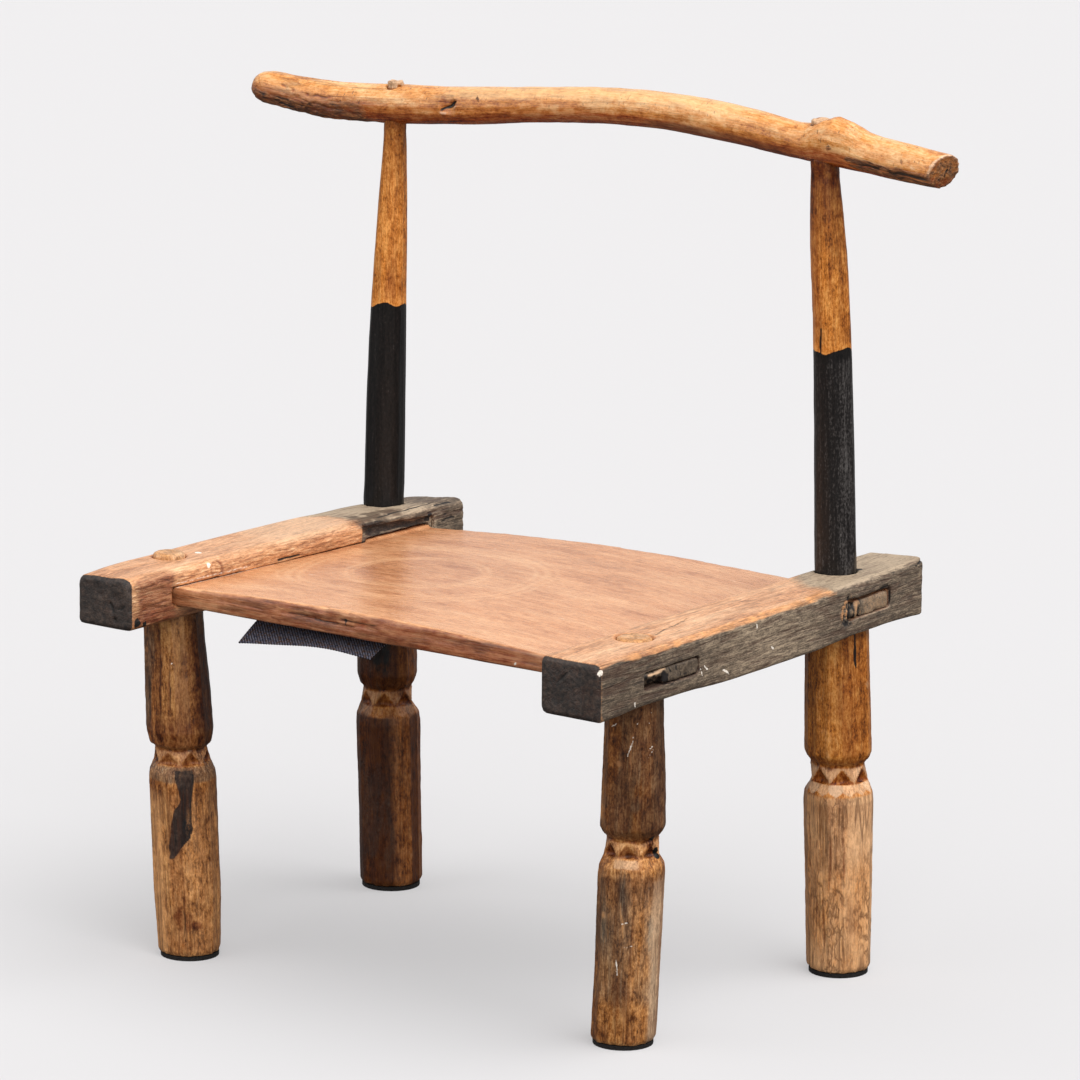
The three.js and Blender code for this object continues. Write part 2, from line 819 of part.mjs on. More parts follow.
const materials = Object.fromEntries(
  Object.entries(COLOURS).map(([slot, color]) => {
    const roughness = slot === "cloth" || slot === "pad" ? 0.9 : 0.62;
    return [slot, new THREE.MeshStandardMaterial({ color, roughness, metalness: 0 })];
  }),
);

const chair = new THREE.Group();

function addPiece(name, geometry, material, place = [0, 0]) {
  const mesh = new THREE.Mesh(geometry, material.clone());
  mesh.name = name;
  mesh.position.set(place[0], place[1], 0);
  chair.add(mesh);
}

const passages = new Map();
for (const [name, leg] of Object.entries(LEGS)) {
  passages.set(leg, toSolid(passage(leg, POSTS[name])));
}
const posts = Object.keys(POSTS).map((name) => LEGS[name]);

function railSolid(rail, extraCuts) {
  const mortises = TENONS.filter((tenon) => tenon.rail === rail);
  const legs = Object.values(LEGS).filter((leg) => leg.rail === rail);
  return without(toSolid(railBlank(rail)), [
    toSolid(seatBlank(FIT_GAP)),
    ...mortises.map((tenon) => toSolid(mortise(tenon))),
    ...legs.map((leg) => passages.get(leg)),
    ...extraCuts,
  ]);
}

function seatSolid() {
  const tenons = TENONS.map((tenon) => toSolid(tenonBlock(tenon)));
  const whole = tenons.reduce((sum, tenon) => sum.add(tenon), toSolid(seatBlank(0)));
  return without(whole, [...passages.values(), toSolid(brokenCorner())]);
}

const branch = without(toSolid(branchBlank()), posts.map((leg) => passages.get(leg)));

addPiece("side_rail_left", toGeometry(railSolid(LEFT_RAIL, [toSolid(openMortise())])), materials.rail);
addPiece("side_rail_right", toGeometry(railSolid(RIGHT_RAIL, [])), materials.rail);
addPiece("seat_board", toGeometry(seatSolid()), materials.seat);

Object.entries(LEGS).forEach(([name, leg], seed) => {
  const post = POSTS[name];
  addPiece(name, legBody(leg, post, seed), post ? materials.upright : materials.leg, leg.foot);
  const padName = name.replace("_leg", "").replace("_upright", "");
  addPiece(`foot_pad_${padName}`, footPad(leg), materials.pad, leg.foot);
});

addPiece("back_branch", toGeometry(branch), materials.branch);
addPiece("hanging_cloth", clothSolid(), materials.cloth);

const bounds = new THREE.Box3().setFromObject(chair);
const middle = bounds.getCenter(new THREE.Vector3());
chair.position.set(-middle.x, -middle.y, -bounds.min.z);

const object = new THREE.Group();
object.add(chair);

export default object;
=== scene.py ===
import itertools
import math

import bpy
import numpy as np
from mathutils import Matrix, Vector


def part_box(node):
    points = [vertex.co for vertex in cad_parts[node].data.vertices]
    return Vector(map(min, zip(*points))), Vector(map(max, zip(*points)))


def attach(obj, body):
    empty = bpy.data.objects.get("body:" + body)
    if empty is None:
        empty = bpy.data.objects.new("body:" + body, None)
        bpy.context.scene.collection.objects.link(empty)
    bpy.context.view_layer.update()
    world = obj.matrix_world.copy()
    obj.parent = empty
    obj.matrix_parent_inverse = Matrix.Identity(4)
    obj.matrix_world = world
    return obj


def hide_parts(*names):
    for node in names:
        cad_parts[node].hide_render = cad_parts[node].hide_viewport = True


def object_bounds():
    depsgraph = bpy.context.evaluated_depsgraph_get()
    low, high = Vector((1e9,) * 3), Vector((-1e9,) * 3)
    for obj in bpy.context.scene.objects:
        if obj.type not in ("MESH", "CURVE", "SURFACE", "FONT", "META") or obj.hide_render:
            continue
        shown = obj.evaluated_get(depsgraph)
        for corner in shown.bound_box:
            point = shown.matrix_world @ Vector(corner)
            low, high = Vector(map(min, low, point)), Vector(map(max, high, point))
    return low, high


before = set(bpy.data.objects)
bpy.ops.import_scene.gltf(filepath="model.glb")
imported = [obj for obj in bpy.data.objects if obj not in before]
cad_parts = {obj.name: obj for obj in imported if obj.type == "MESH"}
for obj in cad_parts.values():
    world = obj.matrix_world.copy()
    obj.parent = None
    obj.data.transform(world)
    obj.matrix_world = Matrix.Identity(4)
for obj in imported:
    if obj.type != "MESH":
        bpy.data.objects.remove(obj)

cad_low, cad_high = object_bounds()

# Metres for each millimetre. Places and sizes below are in millimetres, in the frame of the chair.
MM = 0.001

# The camera stands in front of the chair's right corner and looks down on it.
CAMERA_PLACE = (2957.8, -3809.75, 1397.7)
CAMERA_YAW = math.radians(37.312)
CAMERA_PITCH = math.radians(12.52)
CAMERA_ROLL = math.radians(0.489)
CAMERA_LENS = 216.67
CAMERA_SENSOR = 36.0

# Light: the surroundings from below and above, and soft distant lights as
# (name, direction that it comes from, strength, spread in degrees).
WORLD_BELOW = 0.1
WORLD_ABOVE = 0.66
SUNS = [
    ("overhead", (0.5, 0.15, 1.0), 2.1, 50),
    ("front", (0.95, -0.7, 0.7), 1.45, 60),
    ("left", (-0.55, -0.95, 0.6), 0.7, 60),
]
FLOOR_COLOUR = (0.32, 0.315, 0.318)
FLOOR_GLOW = 0.37
FLOOR_HALF = 14000

# Mesh fineness of each refined piece.
VOXEL = {
    "side_rail_left": 1.27,
    "side_rail_right": 1.3,
    "seat_board": 1.85,
    "front_leg_left": 1.28,
    "front_leg_right": 1.28,
    "rear_upright_left": 1.35,
    "rear_upright_right": 1.35,
    "back_branch": 1.2,
}


# Noise

def lattice(cells, seed):
    """A value from 0 to 1 for each whole point of a lattice, the same on every run."""
    mixed = cells[:, 0] * 374761393 + cells[:, 1] * 668265263 + cells[:, 2] * 1440670441 + seed * 144665
    mixed = mixed & 0xFFFFFFFF
    mixed = ((mixed ^ (mixed >> 13)) * 1274126177) & 0xFFFFFFFF
    return ((mixed ^ (mixed >> 16)) & 0xFFFF) / 65535


def noise(points, size, seed=0):
    """Smooth noise from -1 to 1. size is the size of its lumps, one number or one for each axis."""
    scaled = points / np.asarray(size, float)
    cells = np.floor(scaled).astype(np.int64)
    share = scaled - cells
    share = share * share * (3 - 2 * share)
    total = np.zeros(len(points))
    for corner in itertools.product((0, 1), repeat=3):
        weight = np.prod(np.where(corner, share, 1 - share), axis=1)
        total += weight * lattice(cells + np.array(corner), seed)
    return 2 * total - 1


def rough(points, size, seed=0, layers=3):
    """Noise in several layers, each half as large and half as strong as the one before."""
    total = np.zeros(len(points))
    for layer in range(layers):
        total += noise(points, np.asarray(size, float) / 2**layer, seed + layer) / 2**layer
    return total


def step(value, low, high):
    """0 below low, 1 above high and smooth between them. low may be the greater one."""
    share = np.clip((value - low) / (high - low), 0, 1)
    return share * share * (3 - 2 * share)


def within(value, low, high, soft):
    """1 between low and high, and 0 outside, with soft edges."""
    return step(value, low - soft, low + soft) * step(value, high + soft, high - soft)


# Refined pieces

def read(items, key, count=3):
    values = np.zeros(len(items) * count, np.float32)
    items.foreach_get(key, values)
    return values.reshape(-1, count).astype(float)


class Piece:
    """A fine mesh with the form of a CAD node, whose points can be sunk and marked.

    points and normals are in millimetres, grain holds each point's place along the grain and
    across it, and marks are the amounts that the material reads, from 0 to 1.
    """

    def __init__(self, node, along):
        self.object = self.refined(node)
        mesh = self.object.data
        self.points = read(mesh.vertices, "co") / MM
        self.normals = read(mesh.vertex_normals, "vector")
        ends = np.zeros(len(mesh.edges) * 2, np.int32)
        mesh.edges.foreach_get("vertices", ends)
        self.edges = ends.reshape(-1, 2)
        self.marks = {}
        self.grain = np.roll(self.points, -along, axis=1)
        self.x, self.y, self.z = self.points.T.copy()
        self.curvature = self.bend(5)

    def refined(self, node):
        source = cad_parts[node]
        piece = bpy.data.objects.new(node + "_wood", source.data.copy())
        bpy.context.scene.collection.objects.link(piece)
        remesh = piece.modifiers.new("remesh", "REMESH")
        remesh.mode = "VOXEL"
        remesh.voxel_size = VOXEL[node] * MM
        remesh.use_smooth_shade = True
        bpy.context.view_layer.update()
        evaluated = piece.evaluated_get(bpy.context.evaluated_depsgraph_get())
        mesh = bpy.data.meshes.new_from_object(evaluated)
        piece.modifiers.clear()
        piece.data = mesh
        mesh.materials.clear()
        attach(piece, "root")
        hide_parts(node)
        return piece

    def bend(self, rounds):
        """How strongly the surface bends at each point, above 0 on edges and below 0 in hollows."""
        first, second = self.edges.T
        count = len(self.points)
        near = np.bincount(first, minlength=count) + np.bincount(second, minlength=count)
        near = np.maximum(near, 1)
        run = self.points[second] - self.points[first]
        turn = self.normals[second] - self.normals[first]
        slope = (run * turn).sum(axis=1) / np.maximum((run * run).sum(axis=1), 1e-6)
        bent = (np.bincount(first, slope, count) + np.bincount(second, slope, count)) / near
        for _ in range(rounds):
            around = np.bincount(first, bent[second], count) + np.bincount(second, bent[first], count)
            bent = (bent + around / near) / 2
        return bent

    def sink(self, depth):
        """Moves the surface inwards by depth, or outwards where it is below 0."""
        self.points -= self.normals * np.asarray(depth)[:, None]

    def mark(self, name, amount):
        amount = np.clip(amount, 0, 1)
        self.marks[name] = np.maximum(self.marks.get(name, 0), amount)

    def fade(self, names, share):
        """Weakens marks by a share of each point."""
        for name in names:
            self.marks[name] = self.marks[name] * (1 - np.clip(share, 0, 1))

    def away(self, place):
        """Distance of each point from a place."""
        return np.linalg.norm(self.points - np.asarray(place, float), axis=1)

    def nearest(self, place):
        """The point of the surface that lies nearest to a place."""
        return self.points[np.argmin(self.away(place))].copy()

    def crack(self, path, width, depth, wander=0.8, mark="pit", strength=1.0):
        """A line over the surface along a path, widest in its middle, sunk by depth and marked."""
        path = [self.nearest(place) for place in path]
        sway = np.column_stack([noise(self.points, 7, seed) for seed in (91, 92, 93)])
        points = self.points + wander * sway
        nearest = np.full(len(points), 1e9)
        share = np.zeros(len(points))
        count = len(path) - 1
        for index in range(count):
            start = path[index]
            run = path[index + 1] - start
            part = np.clip((points - start) @ run / max(run @ run, 1e-6), 0, 1)
            distance = np.linalg.norm(points - start - part[:, None] * run, axis=1)
            closer = distance < nearest
            nearest = np.where(closer, distance, nearest)
            share = np.where(closer, (index + part) / count, share)
        taper = 0.35 + 0.65 * np.sqrt(np.clip(4 * share * (1 - share), 0, 1))
        amount = step(nearest, width * taper, 0.25 * width * taper)
        self.sink(depth * amount)
        self.mark(mark, strength * amount)

    def patch(self, mark, place, radius, ragged=0.35, lump=6, strength=1.0, seed=5):
        """Marks a ragged round patch."""
        distance = self.away(self.nearest(place)) / radius + ragged * rough(self.points, lump, seed)
        self.mark(mark, strength * step(distance, 1.1, 0.55))

    def done(self, material):
        """Writes the points and marks back to the mesh and keeps the piece inside the CAD box."""
        low = np.array(cad_low) / MM
        high = np.array(cad_high) / MM
        mesh = self.object.data
        points = np.clip(self.points, low, high) * MM
        mesh.vertices.foreach_set("co", points.astype(np.float32).ravel())
        grain = mesh.attributes.new("grain", "FLOAT_VECTOR", "POINT")
        grain.data.foreach_set("vector", self.grain.astype(np.float32).ravel())
        for name, amount in self.marks.items():
            layer = mesh.attributes.new(name, "FLOAT", "POINT")
            layer.data.foreach_set("value", amount.astype(np.float32))
        mesh.update()
        mesh.materials.append(material)


# Shader nodes

def seen(red, green, blue):
    """A colour as it is seen, from 0 to 255, as the shader's own numbers."""
    def channel(value):
        value = value / 255
        return value / 12.92 if value <= 0.04045 else ((value + 0.055) / 1.055) ** 2.4
    return (channel(red), channel(green), channel(blue), 1)


class Paint:
    """A material's node tree, with short calls for the nodes that the woods use."""

    def __init__(self, name, roughness, specular=0.5):
        self.material = bpy.data.materials.new(name)
        self.material.use_nodes = True
        self.tree = self.material.node_tree
        self.shader = self.tree.nodes["Principled BSDF"]
        self.shader.inputs["Roughness"].default_value = roughness
        self.shader.inputs["Specular IOR Level"].default_value = specular

    def fill(self, socket, value):
        if isinstance(value, bpy.types.NodeSocket):
            self.tree.links.new(value, socket)
        else:
            socket.default_value = value

    def math(self, operation, *values, clamp=False):
        node = self.tree.nodes.new("ShaderNodeMath")
        node.operation = operation
        node.use_clamp = clamp
        for socket, value in zip(node.inputs, values):
            self.fill(socket, value)
        return node.outputs[0]

    def times(self, *values):
        total = values[0]
        for value in values[1:]:
            total = self.math("MULTIPLY", total, value)
        return total

    def mix(self, share, first, second, blend="MIX"):
        node = self.tree.nodes.new("ShaderNodeMix")
        node.data_type = "RGBA"
        node.blend_type = blend
        self.fill(node.inputs[0], share)
        self.fill(node.inputs[6], first)
        self.fill(node.inputs[7], second)
        return node.outputs[2]

    def mark(self, name):
        node = self.tree.nodes.new("ShaderNodeAttribute")
        node.attribute_name = name
        return node.outputs["Fac"]

    def noise(self, sizes, detail=3, sharp=0.5, distortion=0.0):
        """Noise in the grain, with lumps of these sizes in millimetres along it and across it."""
        source = self.tree.nodes.new("ShaderNodeAttribute")
        source.attribute_name = "grain"
        divide = self.tree.nodes.new("ShaderNodeVectorMath")
        divide.operation = "DIVIDE"
        self.tree.links.new(source.outputs["Vector"], divide.inputs[0])
        divide.inputs[1].default_value = sizes
        node = self.tree.nodes.new("ShaderNodeTexNoise")
        self.tree.links.new(divide.outputs[0], node.inputs["Vector"])
        node.inputs["Scale"].default_value = 1
        node.inputs["Detail"].default_value = detail
        node.inputs["Roughness"].default_value = sharp
        node.inputs["Distortion"].default_value = distortion
        return node.outputs["Fac"]

    def ramp(self, share, *stops):
        """A colour, or a number for plain numbers, that changes with share through its stops."""
        node = self.tree.nodes.new("ShaderNodeValToRGB")
        elements = node.color_ramp.elements
        while len(elements) < len(stops):
            elements.new(0.5)
        for element, (place, value) in zip(elements, stops):
            element.position = place
            element.color = value if isinstance(value, tuple) else (value, value, value, 1)
        self.fill(node.inputs[0], share)
        return node.outputs["Color"]

    def ridge(self, noise, width):
        """Thin lines where a noise crosses its middle."""
        apart = self.math("ABSOLUTE", self.math("SUBTRACT", noise, 0.5))
        return self.ramp(apart, (0.0, 1.0), (width, 0.0))

    def blend(self, *parts):
        """Noises about 0.5 added up, each by its weight, about 0.5 again."""
        total = 0.5 * (1 - sum(weight for _, weight in parts))
        for part, weight in parts:
            total = self.math("MULTIPLY_ADD", part, weight, total)
        return total

    def ragged(self, mark, noise, amount, soft=0.12):
        """A mark with its edge broken up by noise."""
        moved = self.math("ADD", mark, self.math("MULTIPLY_ADD", noise, 2 * amount, -amount))
        return self.ramp(moved, (0.5 - soft, 0.0), (0.5 + soft, 1.0))

    def bump(self, height, distance):
        node = self.tree.nodes.new("ShaderNodeBump")
        node.inputs["Distance"].default_value = distance * MM
        self.fill(node.inputs["Height"], height)
        self.tree.links.new(node.outputs[0], self.shader.inputs["Normal"])


# What all woods share: their damaged and weathered colours, from dark to light, the cream colour that also paints
# sheen, and the colour of painted shade.
CHAR = (seen(24, 17, 14), seen(54, 42, 36), seen(88, 70, 58))
GREY = (seen(54, 45, 37), seen(106, 89, 72), seen(178, 156, 130))
TORN = (seen(110, 52, 26), seen(208, 144, 94), seen(248, 202, 154))
BARK = (seen(40, 22, 12), seen(112, 68, 38), seen(196, 132, 80))
BLACK = (seen(9, 8, 8), seen(28, 24, 23), seen(84, 80, 78))
PALE = seen(240, 228, 214)
CREAM_AND_SHEEN = seen(234, 192, 152)
DIRT = seen(66, 32, 14)
PIT = seen(20, 11, 7)
SHADE = seen(122, 108, 90)


def wood(name, tones, finish):
    """Old wood: tones from dark to light, figure along the grain, cracks, and what the marks add."""
    paint = Paint(name, finish["roughness"], finish["specular"])
    fibre = paint.noise((11, 0.85, 0.85), 3, 0.7)
    lines = paint.noise((46, 2.2, 2.2), 3, 0.6, 0.6)
    broad = paint.noise((85, 24, 24), 2)
    blotch = paint.noise((9, 5.5, 5.5), 4, 0.65)
    speckle = paint.noise((2.6, 1.4, 1.4), 3, 0.7)
    share = paint.blend(
        (fibre, finish["fibre"]),
        (lines, finish["lines"]),
        (broad, finish["broad"]),
        (blotch, finish["blotch"]),
        (speckle, finish["speckle"]),
    )
    colour = paint.ramp(share, (0.3, tones[0]), (0.5, tones[1]), (0.7, tones[2]))
    colour = paint.mix(paint.times(paint.mark("figure"), finish["figure"]), colour, tones[2])

    # Thin dark cracks along the grain, a net of finer ones between them, and short marks across.
    veins = paint.ridge(paint.noise((120, 6.5, 6.5), 4, 0.55, 0.6), 0.07)
    veins = paint.times(veins, paint.ramp(paint.noise((34, 14, 14), 2), (0.4, 0.0), (0.56, 1.0)))
    net = paint.ridge(paint.noise((15, 6.5, 6.5), 3, 0.55), 0.085)
    net = paint.times(net, paint.ramp(broad, (0.42, 0.35), (0.56, 1.0)), paint.mark("net"))
    cracks = paint.times(paint.math("MAXIMUM", veins, net), paint.mark("crackle"))
    ticks = paint.ramp(paint.noise((1.7, 5, 5), 1), (0.64, 0.0), (0.7, 1.0))
    some = paint.ramp(paint.noise((24, 9, 9), 1), (0.5, 0.0), (0.58, 1.0))
    cracks = paint.math("MAXIMUM", cracks, paint.times(ticks, some, paint.mark("ticks")))

    torn_lines = paint.noise((13, 1.9, 1.9), 4, 0.7, 0.8)
    torn = paint.ragged(paint.mark("torn"), blotch, 0.4, 0.3)
    torn_colour = paint.ramp(torn_lines, (0.36, TORN[0]), (0.5, TORN[1]), (0.62, TORN[2]))
    colour = paint.mix(paint.times(torn, 0.85), colour, torn_colour)

    grey = paint.ragged(paint.mark("grey"), paint.blend((lines, 0.6), (broad, 0.6)), 0.45, 0.3)
    grey_share = paint.blend((fibre, 0.55), (lines, 0.3), (blotch, 0.35), (speckle, 0.35))
    grey_share = paint.math("MULTIPLY_ADD", paint.mark("bleach_and_sheen"), 0.34, grey_share)
    grey_colour = paint.ramp(grey_share, (0.3, GREY[0]), (0.5, GREY[1]), (0.74, GREY[2]))
    colour = paint.mix(grey, colour, grey_colour)
    worn_and_highlight = paint.ragged(paint.mark("worn_and_highlight"), paint.blend((torn_lines, 0.8), (blotch, 0.5)), 0.5, 0.3)
    colour = paint.mix(worn_and_highlight, colour, finish["worn_and_highlight"])
    cream_and_sheen = paint.ragged(paint.mark("cream_and_sheen"), speckle, 0.3, 0.3)
    colour = paint.mix(cream_and_sheen, colour, CREAM_AND_SHEEN)
    uneven = paint.ramp(paint.blend((blotch, 0.7), (lines, 0.7)), (0.3, 1.0), (0.68, 0.5))
    colour = paint.mix(paint.times(paint.mark("dirt_and_shade"), uneven), colour, finish["dirt_and_shade"], "MULTIPLY")
    colour = paint.mix(paint.mark("shade"), colour, SHADE, "MULTIPLY")
    bark =paint.ragged(paint.mark("bark"), blotch, 0.6, 0.2)
    bark_lines = paint.noise((11, 3, 3), 4, 0.65, 1.5)
    bark_colour = paint.ramp(bark_lines, (0.36, BARK[0]), (0.5, BARK[1]), (0.66, BARK[2]))
    colour = paint.mix(bark, colour, bark_colour)
    char = paint.ragged(paint.mark("char"), speckle, 0.45, 0.2)
    char_share = paint.blend((paint.noise((5, 3, 3), 4, 0.7), 0.9), (broad, 0.25))
    char_colour = paint.ramp(char_share, (0.36, CHAR[0]), (0.52, CHAR[1]), (0.72, CHAR[2]))
    colour = paint.mix(char, colour, char_colour)
    stain = paint.ragged(paint.mark("stain"), paint.noise((7, 2.2, 2.2), 4, 0.65), 0.3)
    stain_share = paint.math("MULTIPLY_ADD", paint.mark("bleach_and_sheen"), 0.4, paint.blend((speckle, 1.0), (lines, 0.7)))
    stain_colour = paint.ramp(stain_share, (0.35, BLACK[0]), (0.7, BLACK[1]), (1.0, BLACK[2]))
    colour = paint.mix(stain, colour, stain_colour)
    fine = paint.ramp(paint.blend((fibre, 0.8), (speckle, 0.5)), (0.34, 1 - finish["fine"]), (0.58, 1.0))
    colour = paint.mix(1.0, colour, fine, "MULTIPLY")
    colour = paint.mix(paint.times(cracks, 0.72), colour, DIRT)
    colour = paint.mix(paint.ragged(paint.mark("pale"), speckle, 0.5), colour, PALE)
    colour = paint.mix(paint.ragged(paint.mark("pit"), speckle, 0.25, 0.2), colour, PIT)
    paint.tree.links.new(colour, paint.shader.inputs["Base Color"])

    gloss = paint.math("MULTIPLY_ADD", fibre, 0.25, finish["roughness"] - 0.125)
    for matt, amount in ((grey, 0.28), (char, 0.2), (torn, 0.15), (bark, 0.25), (stain, -0.04)):
        gloss = paint.math("MULTIPLY_ADD", matt, amount, gloss)
    paint.tree.links.new(paint.math("MAXIMUM", gloss, 0.15, clamp=True), paint.shader.inputs["Roughness"])

    height = paint.blend((fibre, 0.5), (lines, 0.4), (speckle, 0.15))
    height = paint.math("MULTIPLY_ADD", cracks, -0.6, height)
    height = paint.math("ADD", height, paint.times(torn, torn_lines, 1.6))
    height = paint.math("ADD", height, paint.times(bark, bark_lines, 3))
    height = paint.math("ADD", height, paint.times(char, char_share, 1.2))
    paint.bump(height, finish["relief"])
    return paint.material


RAIL_WOOD = wood("rail wood", (seen(154, 92, 50), seen(220, 160, 114), seen(242, 194, 150)), {
    "roughness": 0.38, "specular": 0.55, "relief": 0.6, "fine": 0.38,
    "fibre": 0.5, "lines": 0.5, "broad": 0.5, "blotch": 0.25, "speckle": 0.1,
    "figure": 0.3, "dirt_and_shade": seen(146, 82, 48), "worn_and_highlight": seen(238, 168, 108),
})
BOARD_WOOD = wood("seat wood", (seen(166, 100, 58), seen(212, 148, 102), seen(232, 178, 132)), {
    "roughness": 0.28, "specular": 0.6, "relief": 0.22, "fine": 0.2,
    "fibre": 0.35, "lines": 0.35, "broad": 0.45, "blotch": 0.25, "speckle": 0.1,
    "figure": 0.7, "dirt_and_shade": seen(160, 92, 56), "worn_and_highlight": seen(236, 180, 128),
})
LEG_WOOD = wood("leg wood", (seen(94, 48, 14), seen(186, 120, 60), seen(230, 168, 102)), {
    "roughness": 0.4, "specular": 0.25, "relief": 0.4, "fine": 0.28,
    "fibre": 0.1, "lines": 0.3, "broad": 0.5, "blotch": 0.75, "speckle": 0.75,
    "figure": 0.3, "dirt_and_shade": seen(138, 86, 44), "worn_and_highlight": seen(228, 168, 112),
})
UPRIGHT_WOOD = wood("upright wood", (seen(100, 50, 8), seen(202, 122, 46), seen(236, 164, 86)), {
    "roughness": 0.38, "specular": 0.22, "relief": 0.4, "fine": 0.28,
    "fibre": 0.15, "lines": 0.35, "broad": 0.5, "blotch": 0.65, "speckle": 0.65,
    "figure": 0.3, "dirt_and_shade": seen(136, 84, 38), "worn_and_highlight": seen(234, 178, 126),
})
BRANCH_WOOD = wood("branch wood", (seen(152, 76, 22), seen(224, 148, 74), seen(246, 194, 134)), {
    "roughness": 0.26, "specular": 0.6, "relief": 0.35, "fine": 0.24,
    "fibre": 0.1, "lines": 0.4, "broad": 0.6, "blotch": 0.6, "speckle": 0.35,
    "figure": 0.3, "dirt_and_shade": seen(164, 82, 28), "worn_and_highlight": seen(247, 196, 138),
})


# The left side rail

def left_rail():
    rail = Piece("side_rail_left", 1)
    x, y, z = rail.x, rail.y, rail.z
    inner = step(rail.normals[:, 0], 0.45, 0.8)
    top = step(rail.normals[:, 2], 0.4, 0.8)
    front_end = step(-rail.normals[:, 1], 0.4, 0.75) * step(y, -208, -213)
    rear_end = step(rail.normals[:, 1], 0.6, 0.9) * step(y, 165, 171)
    rail.sink(0.45 * np.maximum(rough(rail.points, (16, 70, 14), 3), 0))
    rail.sink(0.3 * inner * rough(rail.points, (6, 26, 3.2), 11))

    # Torn wood on the inner face, at its worst towards the front.
    torn = inner * step(y, 56, 44) * step(z, 308, 304.5)
    front_part = within(y, -209, -168, 3)
    rail.sink(torn * 0.35 * rough(rail.points, (8, 15, 3), 41) * (1 + front_part))
    rail.mark("torn", torn * (0.62 + 0.3 * noise(rail.points, (30, 30, 5), 43)))
    # Dirt towards the front of the inner face, painted shadow on the inner face below the board, and painted shade on
    # the underside.
    rail.mark("dirt_and_shade", 0.85 * inner * front_part * step(z, 309, 304) + 0.5 * inner * step(z, 284, 276))
    rail.mark("dirt_and_shade", 0.85 * step(-rail.normals[:, 2], 0.3, 0.8))
    rail.crack([(-165.4, -171.6, 306), (-164.6, -172.6, 299), (-164.7, -172, 289)], 1.2, 0.4, 0.3, "worn_and_highlight", 0.6)
    rail.crack([(-160, -52, 295.6), (-159.6, -38, 296), (-159.6, -26, 296.4)], 1.8, 2.0)
    rail.patch("stain", (-163, -210, 275), 4, 0.5, 4)
    rail.patch("stain", (-163, -203, 272), 3, 0.5, 4)

    # The charred front end with its cracks.
    rail.mark("char", front_end)
    rail.sink(front_end * 0.5 * rough(rail.points, 7, 61))
    rail.crack([(-186, -218, 289), (-184, -218, 282), (-180, -218, 270)], 1.9, 1.8, 1.4)
    rail.crack([(-181, -218, 286), (-176, -218, 284), (-172, -218, 287)], 1.3, 1.0, 1.2)

    # The weathered rear, and the ledge over the board that was torn out of the open mortise.
    edge_of_grey = 45 + 0.25 * (x + 176) + 7 * noise(rail.points, (12, 22, 12), 71)
    edge_of_grey = edge_of_grey + 9 * step(x, -165, -161.5) * step(z, 308, 300)
    # Painted sheen: the middle of the top is paler.
    rail.mark("cream_and_sheen", 0.52 * top * within(y, -50, 44, 24))
    rail.mark("grey", step(y, edge_of_grey - 12, edge_of_grey + 12))
    rail.mark("bleach_and_sheen", top * step(y, edge_of_grey - 6, edge_of_grey + 10) * step(y, 150, 105))
    rail.mark("bleach_and_sheen", 0.5 * rear_end)
    behind = step(y, edge_of_grey, edge_of_grey + 12)
    rail.sink(0.5 * behind * np.maximum(rough(rail.points, (7, 34, 4), 81), 0))
    # The open mortise is filled with torn wood up to a slanted surface near the rail's inner face.
    face = -160.2 + 0.0345 * y
    fissure_height = 302.5 - 0.05 * (y - 52) + 1.2 * noise(rail.points, (30, 14, 30), 83)
    fissure = within(z, fissure_height - 4.2, fissure_height + 1.6, 1.2) * within(y, 56, 128, 7)
    filling = face - 0.7 - 2.2 * fissure - 1.1 * rough(rail.points, (5, 18, 2.6), 85)
    open_mortise = (y > 48) & (y < 139) & (z > 289) & (z < 308) & (x > face - 11.5)
    rail.points[:, 0] = np.where(open_mortise & (x < filling), filling, rail.points[:, 0])
    ledge = within(y, 49, 138, 1) * step(z, 309, 307.5) * step(x, face - 13, face - 11)
    rail.mark("char", ledge * fissure * (1.0 + 0.5 * rough(rail.points, (9, 24, 2.6), 87)))
    rail.mark("char", 0.7 * ledge * step(y, 96, 66) * step(noise(rail.points, (9, 12, 2.2), 88), -0.9, 0.0))
    for y_middle, radius in ((56, 13), (74, 12), (92, 10)):
        rail.patch("shade", (-166, y_middle, 308.6), radius, 0.5, 5, 0.8)
    rail.mark("stain", ledge * within(y, 127, 132, 1) * within(z, 297, 305.5, 1))
    rail.mark("bleach_and_sheen", 0.4 * ledge * (1 - fissure) * step(z, 302, 298))
    rail.mark("crackle", ledge)
    for height, start, end in ((309.4, 66, 150), (306, 138, 172), (301, 138, 172), (296, 140, 172)):
        across = -161.5 if height > 306 else -158
        rail.crack([(across, start, height), (across + 1, (start + end) / 2, height + 1),
                    (across + 0.5, end, height - 1)], 1.5, 0.9, 1.2)

    # A small knot, white specks, and the pale rim of the post's hole.
    knot = rail.away((-163, -120.6, 301))
    rail.sink(0.6 * np.cos(knot * 1.1) * step(knot, 9, 6))
    rail.mark("torn", step(knot, 9, 6))
    rail.mark("dirt_and_shade", within(knot, 5, 7, 1.5) * step(noise(rail.points, 5, 75), -0.3, 0.2))
    rail.patch("pale", (-186.4, -115, 310.2), 2.8, 0.2, 3)
    rail.patch("pale", (-164.4, -129.3, 306.1), 2.6, 0.2, 3)
    rail.patch("pit", (-182.5, 107, 309.7), 2.4, 0.2, 3)
    post = np.hypot(x + 193.2, y - 119.7)
    rail.mark("bleach_and_sheen", top * step(post, 20, 17.6) * step(noise(rail.points, 6, 73), -0.4, 0.2))
    tenon = np.hypot(x + 195.6, y + 138.2)
    rail.mark("dirt_and_shade", 0.9 * top * within(tenon, 12, 14, 0.8))

